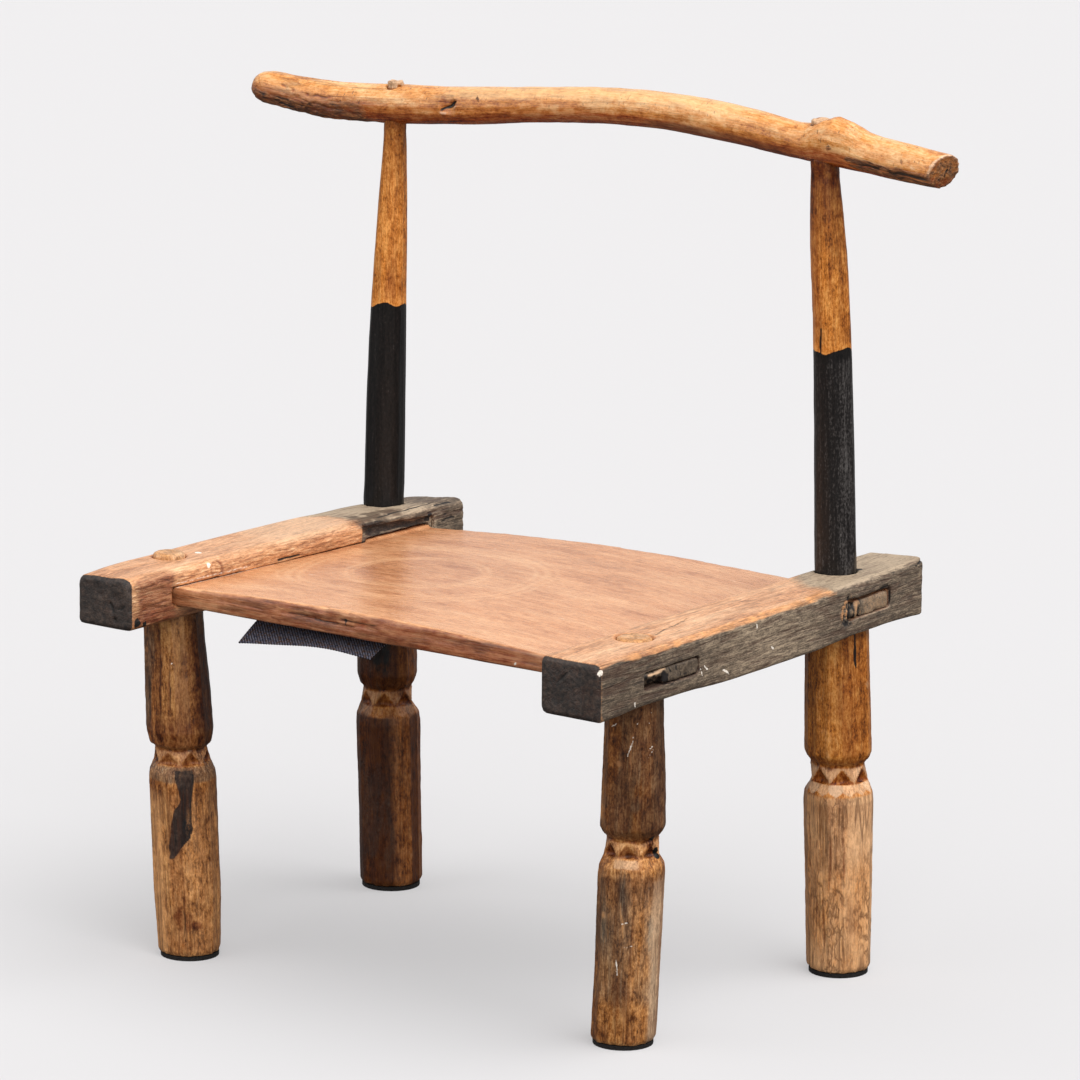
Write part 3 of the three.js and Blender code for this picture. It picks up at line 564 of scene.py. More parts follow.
    edge = step(rail.curvature, 0.05, 0.14) * step(y, edge_of_grey + 6, edge_of_grey - 6)
    rail.mark("worn_and_highlight", 0.5 * edge * (1 - front_end))
    rail.mark("dirt_and_shade", 0.8 * step(rail.curvature, -0.04, -0.14) * (1 - ledge))
    seam = within(z - (299.4 - 0.004 * (y + 60)), -3.2, -1.2, 0.8)
    rail.mark("pale", 0.5 * inner * seam * step(y, -172, -165) * step(y, -60, -90))
    rail.mark("crackle", 0.35 + 0.5 * step(y, edge_of_grey, edge_of_grey + 12))
    rail.done(RAIL_WOOD)


# The right side rail

def right_rail():
    rail = Piece("side_rail_right", 1)
    x, y, z = rail.x, rail.y, rail.z
    outer = step(rail.normals[:, 0], 0.45, 0.8)
    inner = step(-rail.normals[:, 0], 0.45, 0.8)
    top = step(rail.normals[:, 2], 0.45, 0.85)
    front_end = step(-rail.normals[:, 1], 0.4, 0.75) * step(y, -206, -211)
    rear_end = step(rail.normals[:, 1], 0.6, 0.9) * step(y, 208, 214)
    rail.sink(0.4 * np.maximum(rough(rail.points, (18, 80, 16), 103), 0))
    rail.sink(0.24 * outer * rough(rail.points, (5, 34, 2.6), 111))
    rail.sink(0.3 * front_end * rough(rail.points, 9, 113))

    # Weathered grey-brown sides, and a top that greys towards the rear.
    line = 307.6 + 1.4 * noise(rail.points, (30, 24, 30), 121)
    rail.mark("grey", outer * step(z, line + 1.2, line - 1.2))
    rail.mark("grey", step(-rail.normals[:, 2], 0.1, 0.5))
    rail.mark("grey", step(z, 305, 303) * step(x, 256, 259))
    # Painted shadow inside the recesses where the tenons come out on the outer side.
    rail.mark("dirt_and_shade", 0.9 * (1 - outer) * within(z, 276, 303, 2) * step(x, 256, 259) * step(y, -209, -205))
    rail.mark("grey", 0.8 * inner)
    rail.mark("grey", rear_end)
    behind = y + 0.9 * (x - 245) + 16 * noise(rail.points, (20, 34, 20), 131)
    grey_top = step(behind, 62, 112)
    rail.mark("grey", top * grey_top)
    rail.mark("bleach_and_sheen", 0.78 * top * grey_top)
    rail.mark("grey", step(behind, 80, 112) * step(z, 300, 303))
    rail.mark("bleach_and_sheen", 0.3 * outer * within(y, -70, 70, 40))
    rail.mark("shade", 0.16 * outer * step(rough(rail.points, (30, 50, 14), 141), -0.4, 0.9))
    rail.mark("shade", 0.3 * outer * step(y, -100, -190))
    tenon = np.hypot((x - 240.6) / 1.05, y + 130.4)
    rail.mark("dirt_and_shade", 0.9 * top * within(tenon, 13, 14.6, 0.8))

    # The charred front end with cracks that run out from its heart.
    rail.mark("char", front_end)
    rail.mark("dirt_and_shade", 0.6 * front_end)
    heart = (240.8, -216.4, 298.1)
    rail.crack([(242, -217, 300), (240, -217, 297.5), (237.5, -217, 295)], 1.7, 1.4, 0.3)
    rail.crack([(238, -217, 295), (236.5, -217, 292)], 1.3, 0.0, 0.2, "cream_and_sheen")
    for across, up in ((7, 6), (-7, 4), (3, -14), (-8, -7), (11, -4)):
        rail.crack([heart, (heart[0] + across, heart[1], heart[2] + up)], 0.8, 0.6, 0.8)
    rail.crack([(265.5, -216, 303), (266, -216, 289), (265, -216, 277)], 1.4, 0.2, 0.8, "worn_and_highlight")
    rail.patch("pale", (272.1, -214.6, 304.4), 2.4, 0.5, 3)

    # Dents round the rear tenon, the dark hole by the post, and long fine cracks on top.
    dents = rough(rail.points, (6, 3.2, 5), 161)
    crushed = step(rail.away((262, 109, 290)), 15, 9)
    rail.sink(crushed * (1.0 + 1.4 * dents))
    rail.mark("pit", crushed * step(dents, -0.1, 0.3))
    rail.mark("worn_and_highlight", 0.6 * crushed * step(dents, -0.1, -0.4))
    for path in ([(260.3, 140, 299.2), (260.2, 152, 299.3), (260.1, 165, 299.3)],
                 [(260.1, 165.5, 299), (260.2, 166, 293), (260.3, 166, 287)]):
        rail.crack(path, 1.8, 1.2, 0.6)
    rail.patch("pit", (238.4, 156.1, 310.8), 3.2, 0.3, 4)
    rail.crack([(247, -118, 310.7), (243, -100, 310.7), (238, -76, 310.7), (233, -56, 310.7)], 1.1, 0.5, 0.6)
    rail.crack([(262, 205, 309), (255, 214, 309), (246, 217.5, 308)], 1.4, 1.0, 0.6)
    for start, end, height in ((-145, -118, 286), (-128, -108, 289), (-137, -113, 283)):
        rail.crack([(271, start, height), (270.5, end, height + 3)], 1.1, 0.5, 1.2)

    # Pale scuffs.
    scuffs = [((272, -173, 276), (272, -171, 271), 1.3), ((270.3, -86, 286), (269.8, -80, 281), 1.1),
              ((269.8, -62, 279), (269, -54, 274), 1.3), ((268.4, -18, 304), (268.2, -16, 300), 1.1),
              ((267.5, 2, 284), (267, 6, 281), 1.0), ((270.5, -90, 284), (270, -88, 279), 1.0)]
    for start, end, width in scuffs:
        rail.crack([start, end], width, 0.1, 0.8, "pale")

    ragged_edge = step(rail.curvature, 0.03, 0.1) * step(z, 303, 307) * (1 - front_end)
    rail.mark("worn_and_highlight", ragged_edge * within(y, -190, 92, 18) * (0.55 + 0.6 * noise(rail.points, (8, 7, 8), 171)))
    rail.mark("torn", 0.6 * top * within(y, -178, 60, 12) * step(x, 260, 268))
    rail.mark("worn_and_highlight", 0.45 * step(rail.curvature, 0.06, 0.16) * step(y, -206, -211) * step(x, 262, 268))
    rail.mark("dirt_and_shade", 0.9 * step(rail.curvature, -0.04, -0.14))
    rail.mark("crackle", 0.45 + 0.35 * outer)
    rail.done(RAIL_WOOD)


# The seat board

FIGURE_MIDDLE = (-46, -22)
FIGURE_RINGS = [(47, 1.0), (53, 1.6), (86, 1.2), (94, 1.8), (101, 1.0)]


def seat_board():
    board = Piece("seat_board", 0)
    x, y, z = board.x, board.y, board.z
    top = step(board.normals[:, 2], 0.6, 0.95)
    front = step(-board.normals[:, 1], 0.35, 0.7) * step(y, -158, -162)
    board.sink(0.25 * top * rough(board.points, (60, 34, 30), 203))
    board.sink(0.45 * front * rough(board.points, (30, 8, 3), 211))

    # Rings of figure round a buried knot, and faint bands along the grain.
    drift = 4.5 * rough(board.points, (60, 44, 40), 221)
    ring = np.hypot((x - FIGURE_MIDDLE[0]) * 0.94, y - FIGURE_MIDDLE[1]) + drift
    figure = np.zeros(len(x))
    for radius, width in FIGURE_RINGS:
        figure = np.maximum(figure, step(np.abs(ring - radius), 2.2 * width, 0.3 * width))
    figure = figure * (0.75 + 0.4 * noise(board.points, (26, 18, 20), 223))
    bands = np.sin((y + 2.2 * drift + 0.0007 * (x + 30) ** 2) * 0.42)
    board.mark("figure", top * np.maximum(figure, 0.25 * np.clip(bands, 0, 1)))
    board.mark("dirt_and_shade", 0.26 * top * within(ring, 30, 45, 6) + 0.14 * top * within(ring, 60, 80, 8))
    board.mark("crackle", 0.12 * top)

    # The front edge: darker and split, with chips along its upper arris and pale scuffs.
    board.mark("dirt_and_shade", front * (0.5 + 0.35 * step(x, -150, -60)))
    board.mark("crackle", 0.8 * front)
    board.mark("torn", 0.75 * front * within(x, -100, 40, 20) * step(noise(board.points, (40, 9, 3), 225), -0.2, 0.5))
    for path in ([(-72, -165.5, 292.5), (-50, -165.5, 291.6), (-24, -165.5, 292)],
                 [(-40, -165.5, 290), (-16, -165, 289.4), (6, -165, 288.6)],
                 [(-6, -165, 293), (12, -165, 292), (28, -165, 292)]):
        board.crack(path, 1.6, 0.9, 0.8, "dirt_and_shade")
        board.crack(path, 1.3, 0.0, 0.8, "pit", 0.62)
        board.crack([(px, py, pz + 2) for px, py, pz in path], 1.5, -0.3, 0.8, "worn_and_highlight", 0.5)
    arris = np.hypot(y + 163.6, z - (299.8 - 0.00019 * (x - 5) ** 2))
    bites = step(noise(board.points, (15, 60, 60), 231), 0.35, 0.75) * within(x, 55, 112, 12)
    bites += 0.6 * step(noise(board.points, (11, 60, 60), 233), 0.5, 0.8)
    board.sink(1.5 * step(arris, 4.6, 1.5) * bites)
    board.mark("worn_and_highlight", 0.9 * step(arris, 4.2, 1.4) * (0.5 + 0.5 * np.clip(bites, 0, 1)))
    board.patch("pit", (-1.3, -164.8, 293.6), 2.4, 0.2, 3)
    for start, end in (((138, -163, 290), (140, -163, 284)), ((154, -163, 289), (156, -163, 284))):
        board.crack([start, end], 1.5, 0.1, 1.6, "pale")

    # The pale line of dust along the left rail, dirt along both joints, and painted shade on the underside.
    left = x - (-160.2 + 0.0345 * y)
    board.mark("pale", 0.6 * top * within(left, 0.5, 3, 1.2) * step(y, -30, -70))
    board.mark("dirt_and_shade", 0.4 * top * within(left, 5, 10, 4) * step(y, -40, 40))
    board.mark("dirt_and_shade", 0.9 * top * step(left, 0, -2))
    board.mark("dirt_and_shade", 0.9 * step(-board.normals[:, 2], 0.5, 0.9))
    board.mark("pale", 0.42 * top * step(noise(board.points, (9, 3, 3), 235), 0.72, 0.9))

    # Through-tenons that show on the outside of the right rail: grey, crushed and split.
    beyond = step(x, 255, 260)
    crushing = rough(board.points, (8, 4, 4), 251)
    board.mark("grey", beyond)
    # Painted shadow on the tenons' sides inside their mortises, and painted shade over the tenons.
    board.mark("dirt_and_shade", 0.9 * beyond * step(board.normals[:, 0], 0.8, 0.5))
    board.mark("shade", 0.4 * beyond)
    board.sink(beyond * (0.3 + 0.6 * crushing))
    front_tenon = beyond * step(y, 0, -10)
    board.mark("pit", front_tenon * step(crushing, -0.1, 0.35) * step(y, -118, -126))
    board.mark("pit", 0.8 * front_tenon * step(crushing, 0.35, 0.8))
    crushed = beyond * step(y, 0, 10) * step(y, 131, 122)
    strokes = rough(board.points, (9, 2.6, 7), 253)
    board.sink(crushed * (0.7 + 1.6 * strokes))
    board.mark("pit", crushed * step(strokes, 0.0, 0.35))
    board.mark("worn_and_highlight", 0.62 * crushed * step(strokes, 0.0, -0.35))
    board.mark("bleach_and_sheen", 0.35 * beyond * step(y, 126, 134))
    board.mark("worn_and_highlight", 0.3 * beyond * step(y, 126, 134))
    splinter_height = 291.8 + 0.05 * (y + 150)
    splinter = front_tenon * within(z, splinter_height - 1, splinter_height + 1, 0.5) * within(y, -156, -134, 2)
    board.sink(-0.9 * splinter)
    board.fade(["pit", "dirt_and_shade", "shade"], splinter)
    board.mark("cream_and_sheen", splinter)
    board.done(BOARD_WOOD)


# Legs. Each is given by the place of its axis on the floor and at AXIS_HEIGHT, and by the heights
# where its lower block ends, where the cut triangles start and where they end, with the bearing of
# one triangle. Each leg has two facets for each of its triangles.

AXIS_HEIGHT = 310
LEG_AXES = {
    "front_leg_left": ((-173.6, -141.0), (-195.6, -138.2)),
    "front_leg_right": ((225.4, -118.6), (240.4, -130.5)),
    "rear_upright_left": ((-178.6, 112.7), (-193.2, 119.7)),
    "rear_upright_right": ((241.0, 136.1), (227.0, 143.1)),
}
LEG_LEVELS = {
    "front_leg_left": (138, 152, 162.4, -77.2),
    "front_leg_right": (132, 147, 158.6, -57.7),
    "rear_upright_left": (134, 149, 160.5, -58.7),
    "rear_upright_right": (134, 150, 162, -44.7),
}
TRIANGLE_TURN = 360 / 7
# The bearing from the legs to the camera. turn is counted from there, above 0 to the right.
CAMERA_BEARING = -53


def leg_piece(node, seed, cream_and_sheen):
    """A leg with what all legs share: a worn, dirty, facetted surface with painted shade and highlights, and pale cuts
    at the neck.
    """
    leg = Piece(node, 2)
    z = leg.z
    foot, head = (np.array(place) for place in LEG_AXES[node])
    middle = foot + (head - foot) * (z / AXIS_HEIGHT)[:, None]
    out = leg.points[:, :2] - middle
    leg.grain = np.column_stack([z, out])
    leg.turn = (np.degrees(np.arctan2(out[:, 1], out[:, 0])) - CAMERA_BEARING + 180) % 360 - 180
    block, foot_line, head_line, phase = LEG_LEVELS[node]
    leg.below = step(z, 272, 268)
    body = leg.below * (1 - within(z, block, head_line, 1.5))
    leg.sink(body * 0.2 * np.maximum(rough(leg.points, (6, 6, 30), seed), -0.4))
    leg.sink(body * 0.12 * rough(leg.points, (5, 5, 5), seed + 7))

    # Facets differ in tone, and a ridge runs between each two.
    columns = (leg.turn + CAMERA_BEARING - phase) / TRIANGLE_TURN
    facet = np.floor(2 * columns)
    part = (z > foot_line).astype(float) + (z > head_line)
    leg.tone = 2 * lattice(np.column_stack([facet, part, part]).astype(np.int64), seed + 1) - 1
    leg.sink(-0.3 * leg.below * step(np.abs(2 * columns - np.round(2 * columns)), 0.09, 0.02))

    # The cut triangles stand on their bases, dark and sunk between lighter ones.
    aside = 2 * np.abs(columns - np.round(columns))
    band = step(z, foot_line - 0.8, foot_line + 0.4) * step(z, head_line + 1.2, head_line)
    rise = (z - foot_line) / (head_line - foot_line)
    inside = band * step(1 - aside - rise, -0.03, 0.08)
    leg.sink(1.3 * inside * np.clip(1 - aside - rise, 0, 1))
    leg.mark("dirt_and_shade", inside)
    leg.mark("cream_and_sheen", (0.22 + 0.34 * cream_and_sheen) * (band - inside))

    # Light and dark facets, dirt with painted shade in hollows, dirt under the chamfer, painted shade in the groove
    # above the triangles, and worn edges with painted highlights.
    leg.mark("dirt_and_shade", 0.75 * leg.below * np.maximum(leg.tone, 0))
    leg.mark("worn_and_highlight", 0.4 * leg.below * np.maximum(-leg.tone, 0))
    leg.mark("dirt_and_shade", 0.95 * leg.below * step(leg.curvature, -0.03, -0.14))
    leg.mark("pit", 0.5 * leg.below * step(leg.curvature, -0.18, -0.36))
    leg.mark("worn_and_highlight", 0.6 * leg.below * step(leg.curvature, 0.06, 0.18))
    leg.mark("dirt_and_shade", 0.7 * leg.below * step(rough(leg.points, (14, 14, 46), seed + 3), 0.1, 0.9))
    leg.mark("dirt_and_shade", 0.6 * step(z, block - 26, block - 2) * step(z, block + 2, block))
    # Painted shade in the groove above the triangles.
    leg.mark("dirt_and_shade", 0.7 * within(z, head_line + 1, head_line + 8, 1.5))
    leg.mark("dirt_and_shade", 0.6 * step(z, 36, 4) * step(rough(leg.points, (9, 9, 12), seed + 5), -0.4, 0.6))
    scallop = 3.5 * np.abs(2 * (2 * columns - np.floor(2 * columns)) - 1)
    chamfer = step(z, foot_line - 10 + scallop, foot_line - 8.6 + scallop) * step(z, foot_line + 0.2, foot_line - 1)
    leg.mark("cream_and_sheen", cream_and_sheen * chamfer * (0.8 + 0.35 * leg.tone))
    leg.mark("crackle", (0.5 + 0.4 * step(z, block, block - 8)) * leg.below)
    leg.mark("net", 0.6 * step(z, block, block - 8))
    return leg


def tenon_top(leg):
    """The round end of a front leg that shows on top of its rail, about as light as the rail."""
    shown = step(leg.z, 304, 306)
    leg.mark("worn_and_highlight", 0.62 * shown)
    leg.mark("cream_and_sheen", shown * (0.3 + 0.35 * noise(leg.points, (6, 3, 6), 311)))
    leg.mark("crackle", 0.8 * shown)
    leg.mark("net", shown)


def front_left_leg():
    leg = leg_piece("front_leg_left", 301, 0.25)
    z, turn = leg.z, leg.turn
    upper = within(z, 168, 258, 12)
    leg.mark("grey", 0.62 * upper * step(turn, -28, -44) * step(noise(leg.points, (9, 9, 40), 303), -0.6, 0.2))
    leg.mark("stain", 0.55 * upper * within(turn, -64, -44, 8) * step(noise(leg.points, (6, 6, 26), 305), -0.1, 0.4))
    leg.mark("dirt_and_shade", upper * step(turn, 22, 44))
    leg.mark("shade", within(z, 164, 300, 6) * (0.36 * step(turn, -50, -30) + 0.5 * step(turn, 30, 56)))
    leg.mark("stain", 0.36 * within(z, 168, 240, 14) * step(turn, 40, 56))
    leg.mark("dirt_and_shade", 0.9 * within(z, 160, 192, 10))
    leg.mark("worn_and_highlight", (0.36 + 0.24 * step(turn, -30, -50)) * step(z, 136, 128))

    # The black patch on the lower block: its left and right edge at each height, across the view.
    heights = [80, 84, 90, 97, 104, 115, 127, 135, 142, 150]
    left_edge = [-9, -9, -9.5, -9.2, -8.4, -6.2, -0.8, -2.5, -4.5, -5]
    right_edge = [-6, -3, 1.5, 7.5, 9.5, 8.8, 8.4, 9, 9.2, 9]
    across = (leg.x + 165.6) * math.cos(CAMERA_YAW) + (leg.y + 160.5) * math.sin(CAMERA_YAW)
    across = across + 0.9 * rough(leg.points, (5, 5, 9), 307)
    inside = np.minimum(across - np.interp(z, heights, left_edge), np.interp(z, heights, right_edge) - across)
    patch = step(inside, -0.7, 0.9) * within(z, 80, 149, 1) * step(np.abs(turn), 80, 60)
    streaks = noise(leg.points, (3, 3, 16), 309)
    leg.mark("char", patch * (0.82 + 0.3 * streaks))
    leg.mark("stain", 0.6 * patch * step(inside, 2.0, 0.6))
    leg.mark("stain", patch * within(across, 0, 5, 1.5) * within(z, 86, 132, 6) * (0.7 + 0.4 * streaks))
    leg.sink(patch * (0.35 + 0.25 * streaks))
    leg.mark("grey", 0.55 * within(z, 139, 151, 1.5))
    tenon_top(leg)

    cracks = [([(-186, -162.5, 262), (-185, -163, 230), (-183.6, -163.5, 196), (-184, -163.5, 184)], 1.4),
              ([(-177, -161.5, 238), (-176, -162, 214), (-175, -162, 190)], 1.1),
              ([(-184, -163.6, 190), (-179, -164, 181), (-183, -164, 171), (-187, -163, 166)], 1.4),
              ([(-163, -160, 52), (-162, -160.5, 36), (-161, -161, 16)], 1.5)]
    for path, width in cracks:
        leg.crack(path, width, 0.4, 1.0, "pit", 0.62)
        leg.crack(path, 1.8 * width, 0.0, 1.0, "dirt_and_shade")
    leg.crack([(-190, -160, 128), (-189, -161, 90), (-189, -161.5, 70)], 1.2, 0.3, 1.0, "dirt_and_shade")
    leg.patch("dirt_and_shade", (-163, -160, 34), 13, 0.6, 7)
    leg.patch("pale", (-175, -161, 233), 1.0, 0.1, 3)
    leg.done(LEG_WOOD)


def front_right_leg():
    leg = leg_piece("front_leg_right", 331, 0.2)
    z, turn = leg.z, leg.turn
    block = within(z, 162, 269, 3)
    # Dirt and painted shade darken the upper block under the rail, and painted shade darkens the left of the lower
    # block.
    leg.mark("dirt_and_shade", block * (0.62 + 0.3 * noise(leg.points, (8, 8, 24), 333)))
    leg.mark("shade", block * (0.5 + 0.3 * noise(leg.points, (10, 10, 20), 334)))
    leg.mark("shade", 0.25 * step(z, 134, 126) * step(turn, 20, -30))
    leg.mark("grey", 0.45 * block * step(noise(leg.points, (9, 9, 22), 336), -0.6, 0.2))
    leg.mark("grey", 0.55 * block * step(turn, 20, 48))
    leg.mark("grey", 0.5 * within(z, 164, 196, 10) * step(noise(leg.points, (9, 9, 9), 335), -0.5, 0.3))
    leg.mark("grey", within(z, 34, 138, 14) * (0.52 + 0.3 * noise(leg.points, (9, 9, 30), 337)))
    leg.mark("bleach_and_sheen", 0.75 * step(z, 134, 126) * step(turn, 26, 50))
    leg.mark("grey", 0.6 * step(z, 134, 126) * step(turn, 36, 56))
    leg.mark("cream_and_sheen", 0.5 * step(z, 134, 126) * step(turn, 34, 54))
    leg.mark("cream_and_sheen", 0.55 * within(z, 139.5, 146, 1.2) * within(turn, -32, 20, 5))
    tenon_top(leg)
    scratches = [((233, -146, 246), (237.5, -147.5, 249)), ((250, -143, 240), (256, -135, 250)),
                 ((252, -141, 250), (257, -132, 259)), ((247, -145, 226), (250, -143, 238)),
                 ((256, -134, 230), (259, -126, 238)), ((253, -139, 218), (256.5, -130, 230)),
                 ((240, -143, 98), (245, -142, 99)), ((243, -142, 80), (249, -140, 81)),
                 ((236, -143, 70), (236, -143, 58))]
    for start, end in scratches:
        leg.crack([start, end], 1.1, 0.15, 0.3, "pale", 0.66)
    for path in ([(250, -143, 266), (249.5, -144, 236), (247, -144, 200)],
                 [(240, -145, 118), (241, -144, 92), (244, -142, 74)],
                 [(252, -138, 200), (253, -137, 176)]):
        leg.crack(path, 1.3, 0.3, 1.4, "worn_and_highlight", 0.6)
    leg.crack([(243, -146, 250), (242, -146.5, 220), (242, -146, 190)], 1.4, 0.3, 1.0, "dirt_and_shade")
    leg.patch("worn_and_highlight", (240, -147, 219), 3, 0.4, 4)
    leg.patch("stain", (254.1, -125.9, 162), 3, 0.3, 4)
    leg.patch("stain", (253.5, -120, 152), 3.2, 0.4, 4)
    leg.patch("stain", (254, -118, 146), 2.4, 0.4, 4)
    leg.crack([(247, -137, 112), (246, -138, 84), (245.5, -138, 60)], 1.4, 0.3, 1.0, "dirt_and_shade")
    leg.done(LEG_WOOD)


# Rear legs and back posts

def upright(node, shoulder, edge_height, seed, cream_and_sheen):
    """A rear leg that goes on as a back post, stained black up to a ragged edge.

    shoulder is the height of the post's shoulder, which is filled out up to the branch here.
    """
    post = leg_piece(node, seed, cream_and_sheen)
    z = post.z
    low = post.points[np.abs(z - shoulder + 34) < 2]
    high = post.points[np.abs(z - shoulder + 5) < 1.5]
    low_middle, high_middle = ((part.min(axis=0) + part.max(axis=0)) / 2 for part in (low, high))
    lean = (high_middle - low_middle) / (high_middle[2] - low_middle[2])
    width = (high.max(axis=0) - high.min(axis=0))[:2].mean() / 2
    centre = high_middle[:2] + (z - high_middle[2])[:, None] * lean[:2]
    out = post.points[:, :2] - centre
    reach = np.linalg.norm(out, axis=1)
    short = np.clip(width - reach, 0, 3) * step(z, shoulder - 4, shoulder - 1) * step(z, shoulder + 14, shoulder + 8)
    post.points[:, :2] += out / np.maximum(reach, 1e-6)[:, None] * short[:, None]

    above = step(z, 303, 305)
    ragged = edge_height + 3.4 * noise(post.points, (9, 9, 40), seed + 9) + 1.5 * np.sin(np.radians(post.turn * 3))
    post.mark("stain", above * step(z, ragged + 1, ragged - 1))
    post.sink(above * 0.25 * np.maximum(rough(post.points, (6, 6, 44), seed + 11), -0.3))
    free = step(z, edge_height, edge_height + 10)
    post.mark("dirt_and_shade", free * 0.5 * np.maximum(post.tone, 0))
    post.mark("dirt_and_shade", 0.7 * free * step(rough(post.points, (7, 7, 60), seed + 13), 0.1, 1.0))
    post.mark("dirt_and_shade", 0.7 * free * step(z, 590, shoulder + 10))
    post.mark("crackle", 0.5 * free)
    post.stub = step(z, 640, 642)
    post.sink(post.stub * (0.8 + 1.0 * rough(post.points, (4, 4, 3), seed + 15)))
    post.mark("cream_and_sheen", 0.8 * post.stub * step(noise(post.points, 3.4, seed + 17), -0.7, -0.1))
    return post


def left_upright():
    post = upright("rear_upright_left", 609, 469.5, 361, 0.45)
    z, turn = post.z, post.turn
    leg = post.below * (1 - within(z, 141, 161, 1.5))
    # The leg under the seat: dirt with painted shade over it; painted shade also darkens the top of the post under the
    # branch and its left side above the stain.
    post.mark("dirt_and_shade", 0.7 * leg)
    post.mark("shade", 0.45 * post.below + leg * (0.22 + 0.32 * post.tone))
    post.mark("shade", leg * within(turn, -50, 14, 14))
    post.mark("shade", leg * step(z, 158, 166) * step(turn, 44, 20))
    post.mark("shade", 0.4 * step(z, 560, 620) + 0.4 * step(z, 475, 490) * step(turn, -24, -48))
    post.mark("char", 0.5 * post.below * step(rough(post.points, (9, 9, 40), 363), -0.3, 0.7) * step(turn, 30, 6))
    post.mark("stain", 0.64 * within(z, 168, 268, 6) * step(turn, 24, 4) * step(noise(post.points, 20, 367), -0.5, 0.3))
    post.fade(["dirt_and_shade", "shade"], 0.8 * post.stub)
    post.crack([(-178, 113, 646), (-185, 118, 647), (-190, 122, 646)], 1.3, 1.5, 0.5)
    post.done(UPRIGHT_WOOD)


def right_upright():
    post = upright("rear_upright_right", 615, 480.5, 391, 1.0)
    z, turn = post.z, post.turn
    # Dirt and painted shade darken the top of the post under the branch; painted shade also darkens the leg's upper
    # block under the seat.
    post.mark("dirt_and_shade", step(z, 530, 620))
    post.mark("shade", 0.45 * step(z, 540, 620))
    post.mark("shade", 0.2 * within(z, 164, 268, 4))
    post.mark("dirt_and_shade", 0.6 * step(z, 480, 500) * step(turn, -20, -44))
    # Painted sheen: the black stain is lightened to grey between the rail and the stain's edge.
    post.mark("bleach_and_sheen", 0.62 * within(z, 306, 474, 4) * (0.7 + 0.4 * post.tone))
    lower = step(z, 143, 139)
    post.fade(["dirt_and_shade", "shade"], 0.8 * post.stub + 0.5 * lower)
    post.mark("worn_and_highlight", 0.7 * lower * (1 + 0.4 * noise(post.points, (12, 12, 40), 393)))
    post.mark("cream_and_sheen", 0.34 * lower * step(z, 60, 100) * step(turn, -50, -10))
    post.mark("crackle", lower)
    post.mark("net", lower)
    post.crack([(257.5, 134.5, 268), (258.2, 134, 252), (258.4, 133, 240)], 2.2, 0.3, 0.6, "stain")
    for start, end, width in (((246, 113.5, 128), (247.5, 113, 62), 1.4), ((233, 112, 106), (234.5, 111, 26), 1.5),
                              ((256, 119, 118), (257, 118, 78), 1.3), ((225, 115, 128), (226, 114, 84), 1.3),
                              ((241, 111, 60), (243, 111, 20), 1.2)):
        middle = [(a + b) / 2 + 0.6 for a, b in zip(start, end)]
        post.crack([start, middle, end], width, 0.4, 1.2, "dirt_and_shade")
        post.crack([start, middle, end], 0.8 * width, 0.0, 1.2, "pit", 0.5)
    post.crack([(219.5, 129, 498), (219, 129.5, 486), (219.5, 129, 478)], 1.5, 0.5, 0.8)
    for across in (-5, 0.5, 6):
        post.crack([(212 + across, 132, 654), (216 + across, 139, 655), (218 + across, 147, 654)], 1.8, 2.4, 0.8)
    post.done(UPRIGHT_WOOD)


# The crest branch

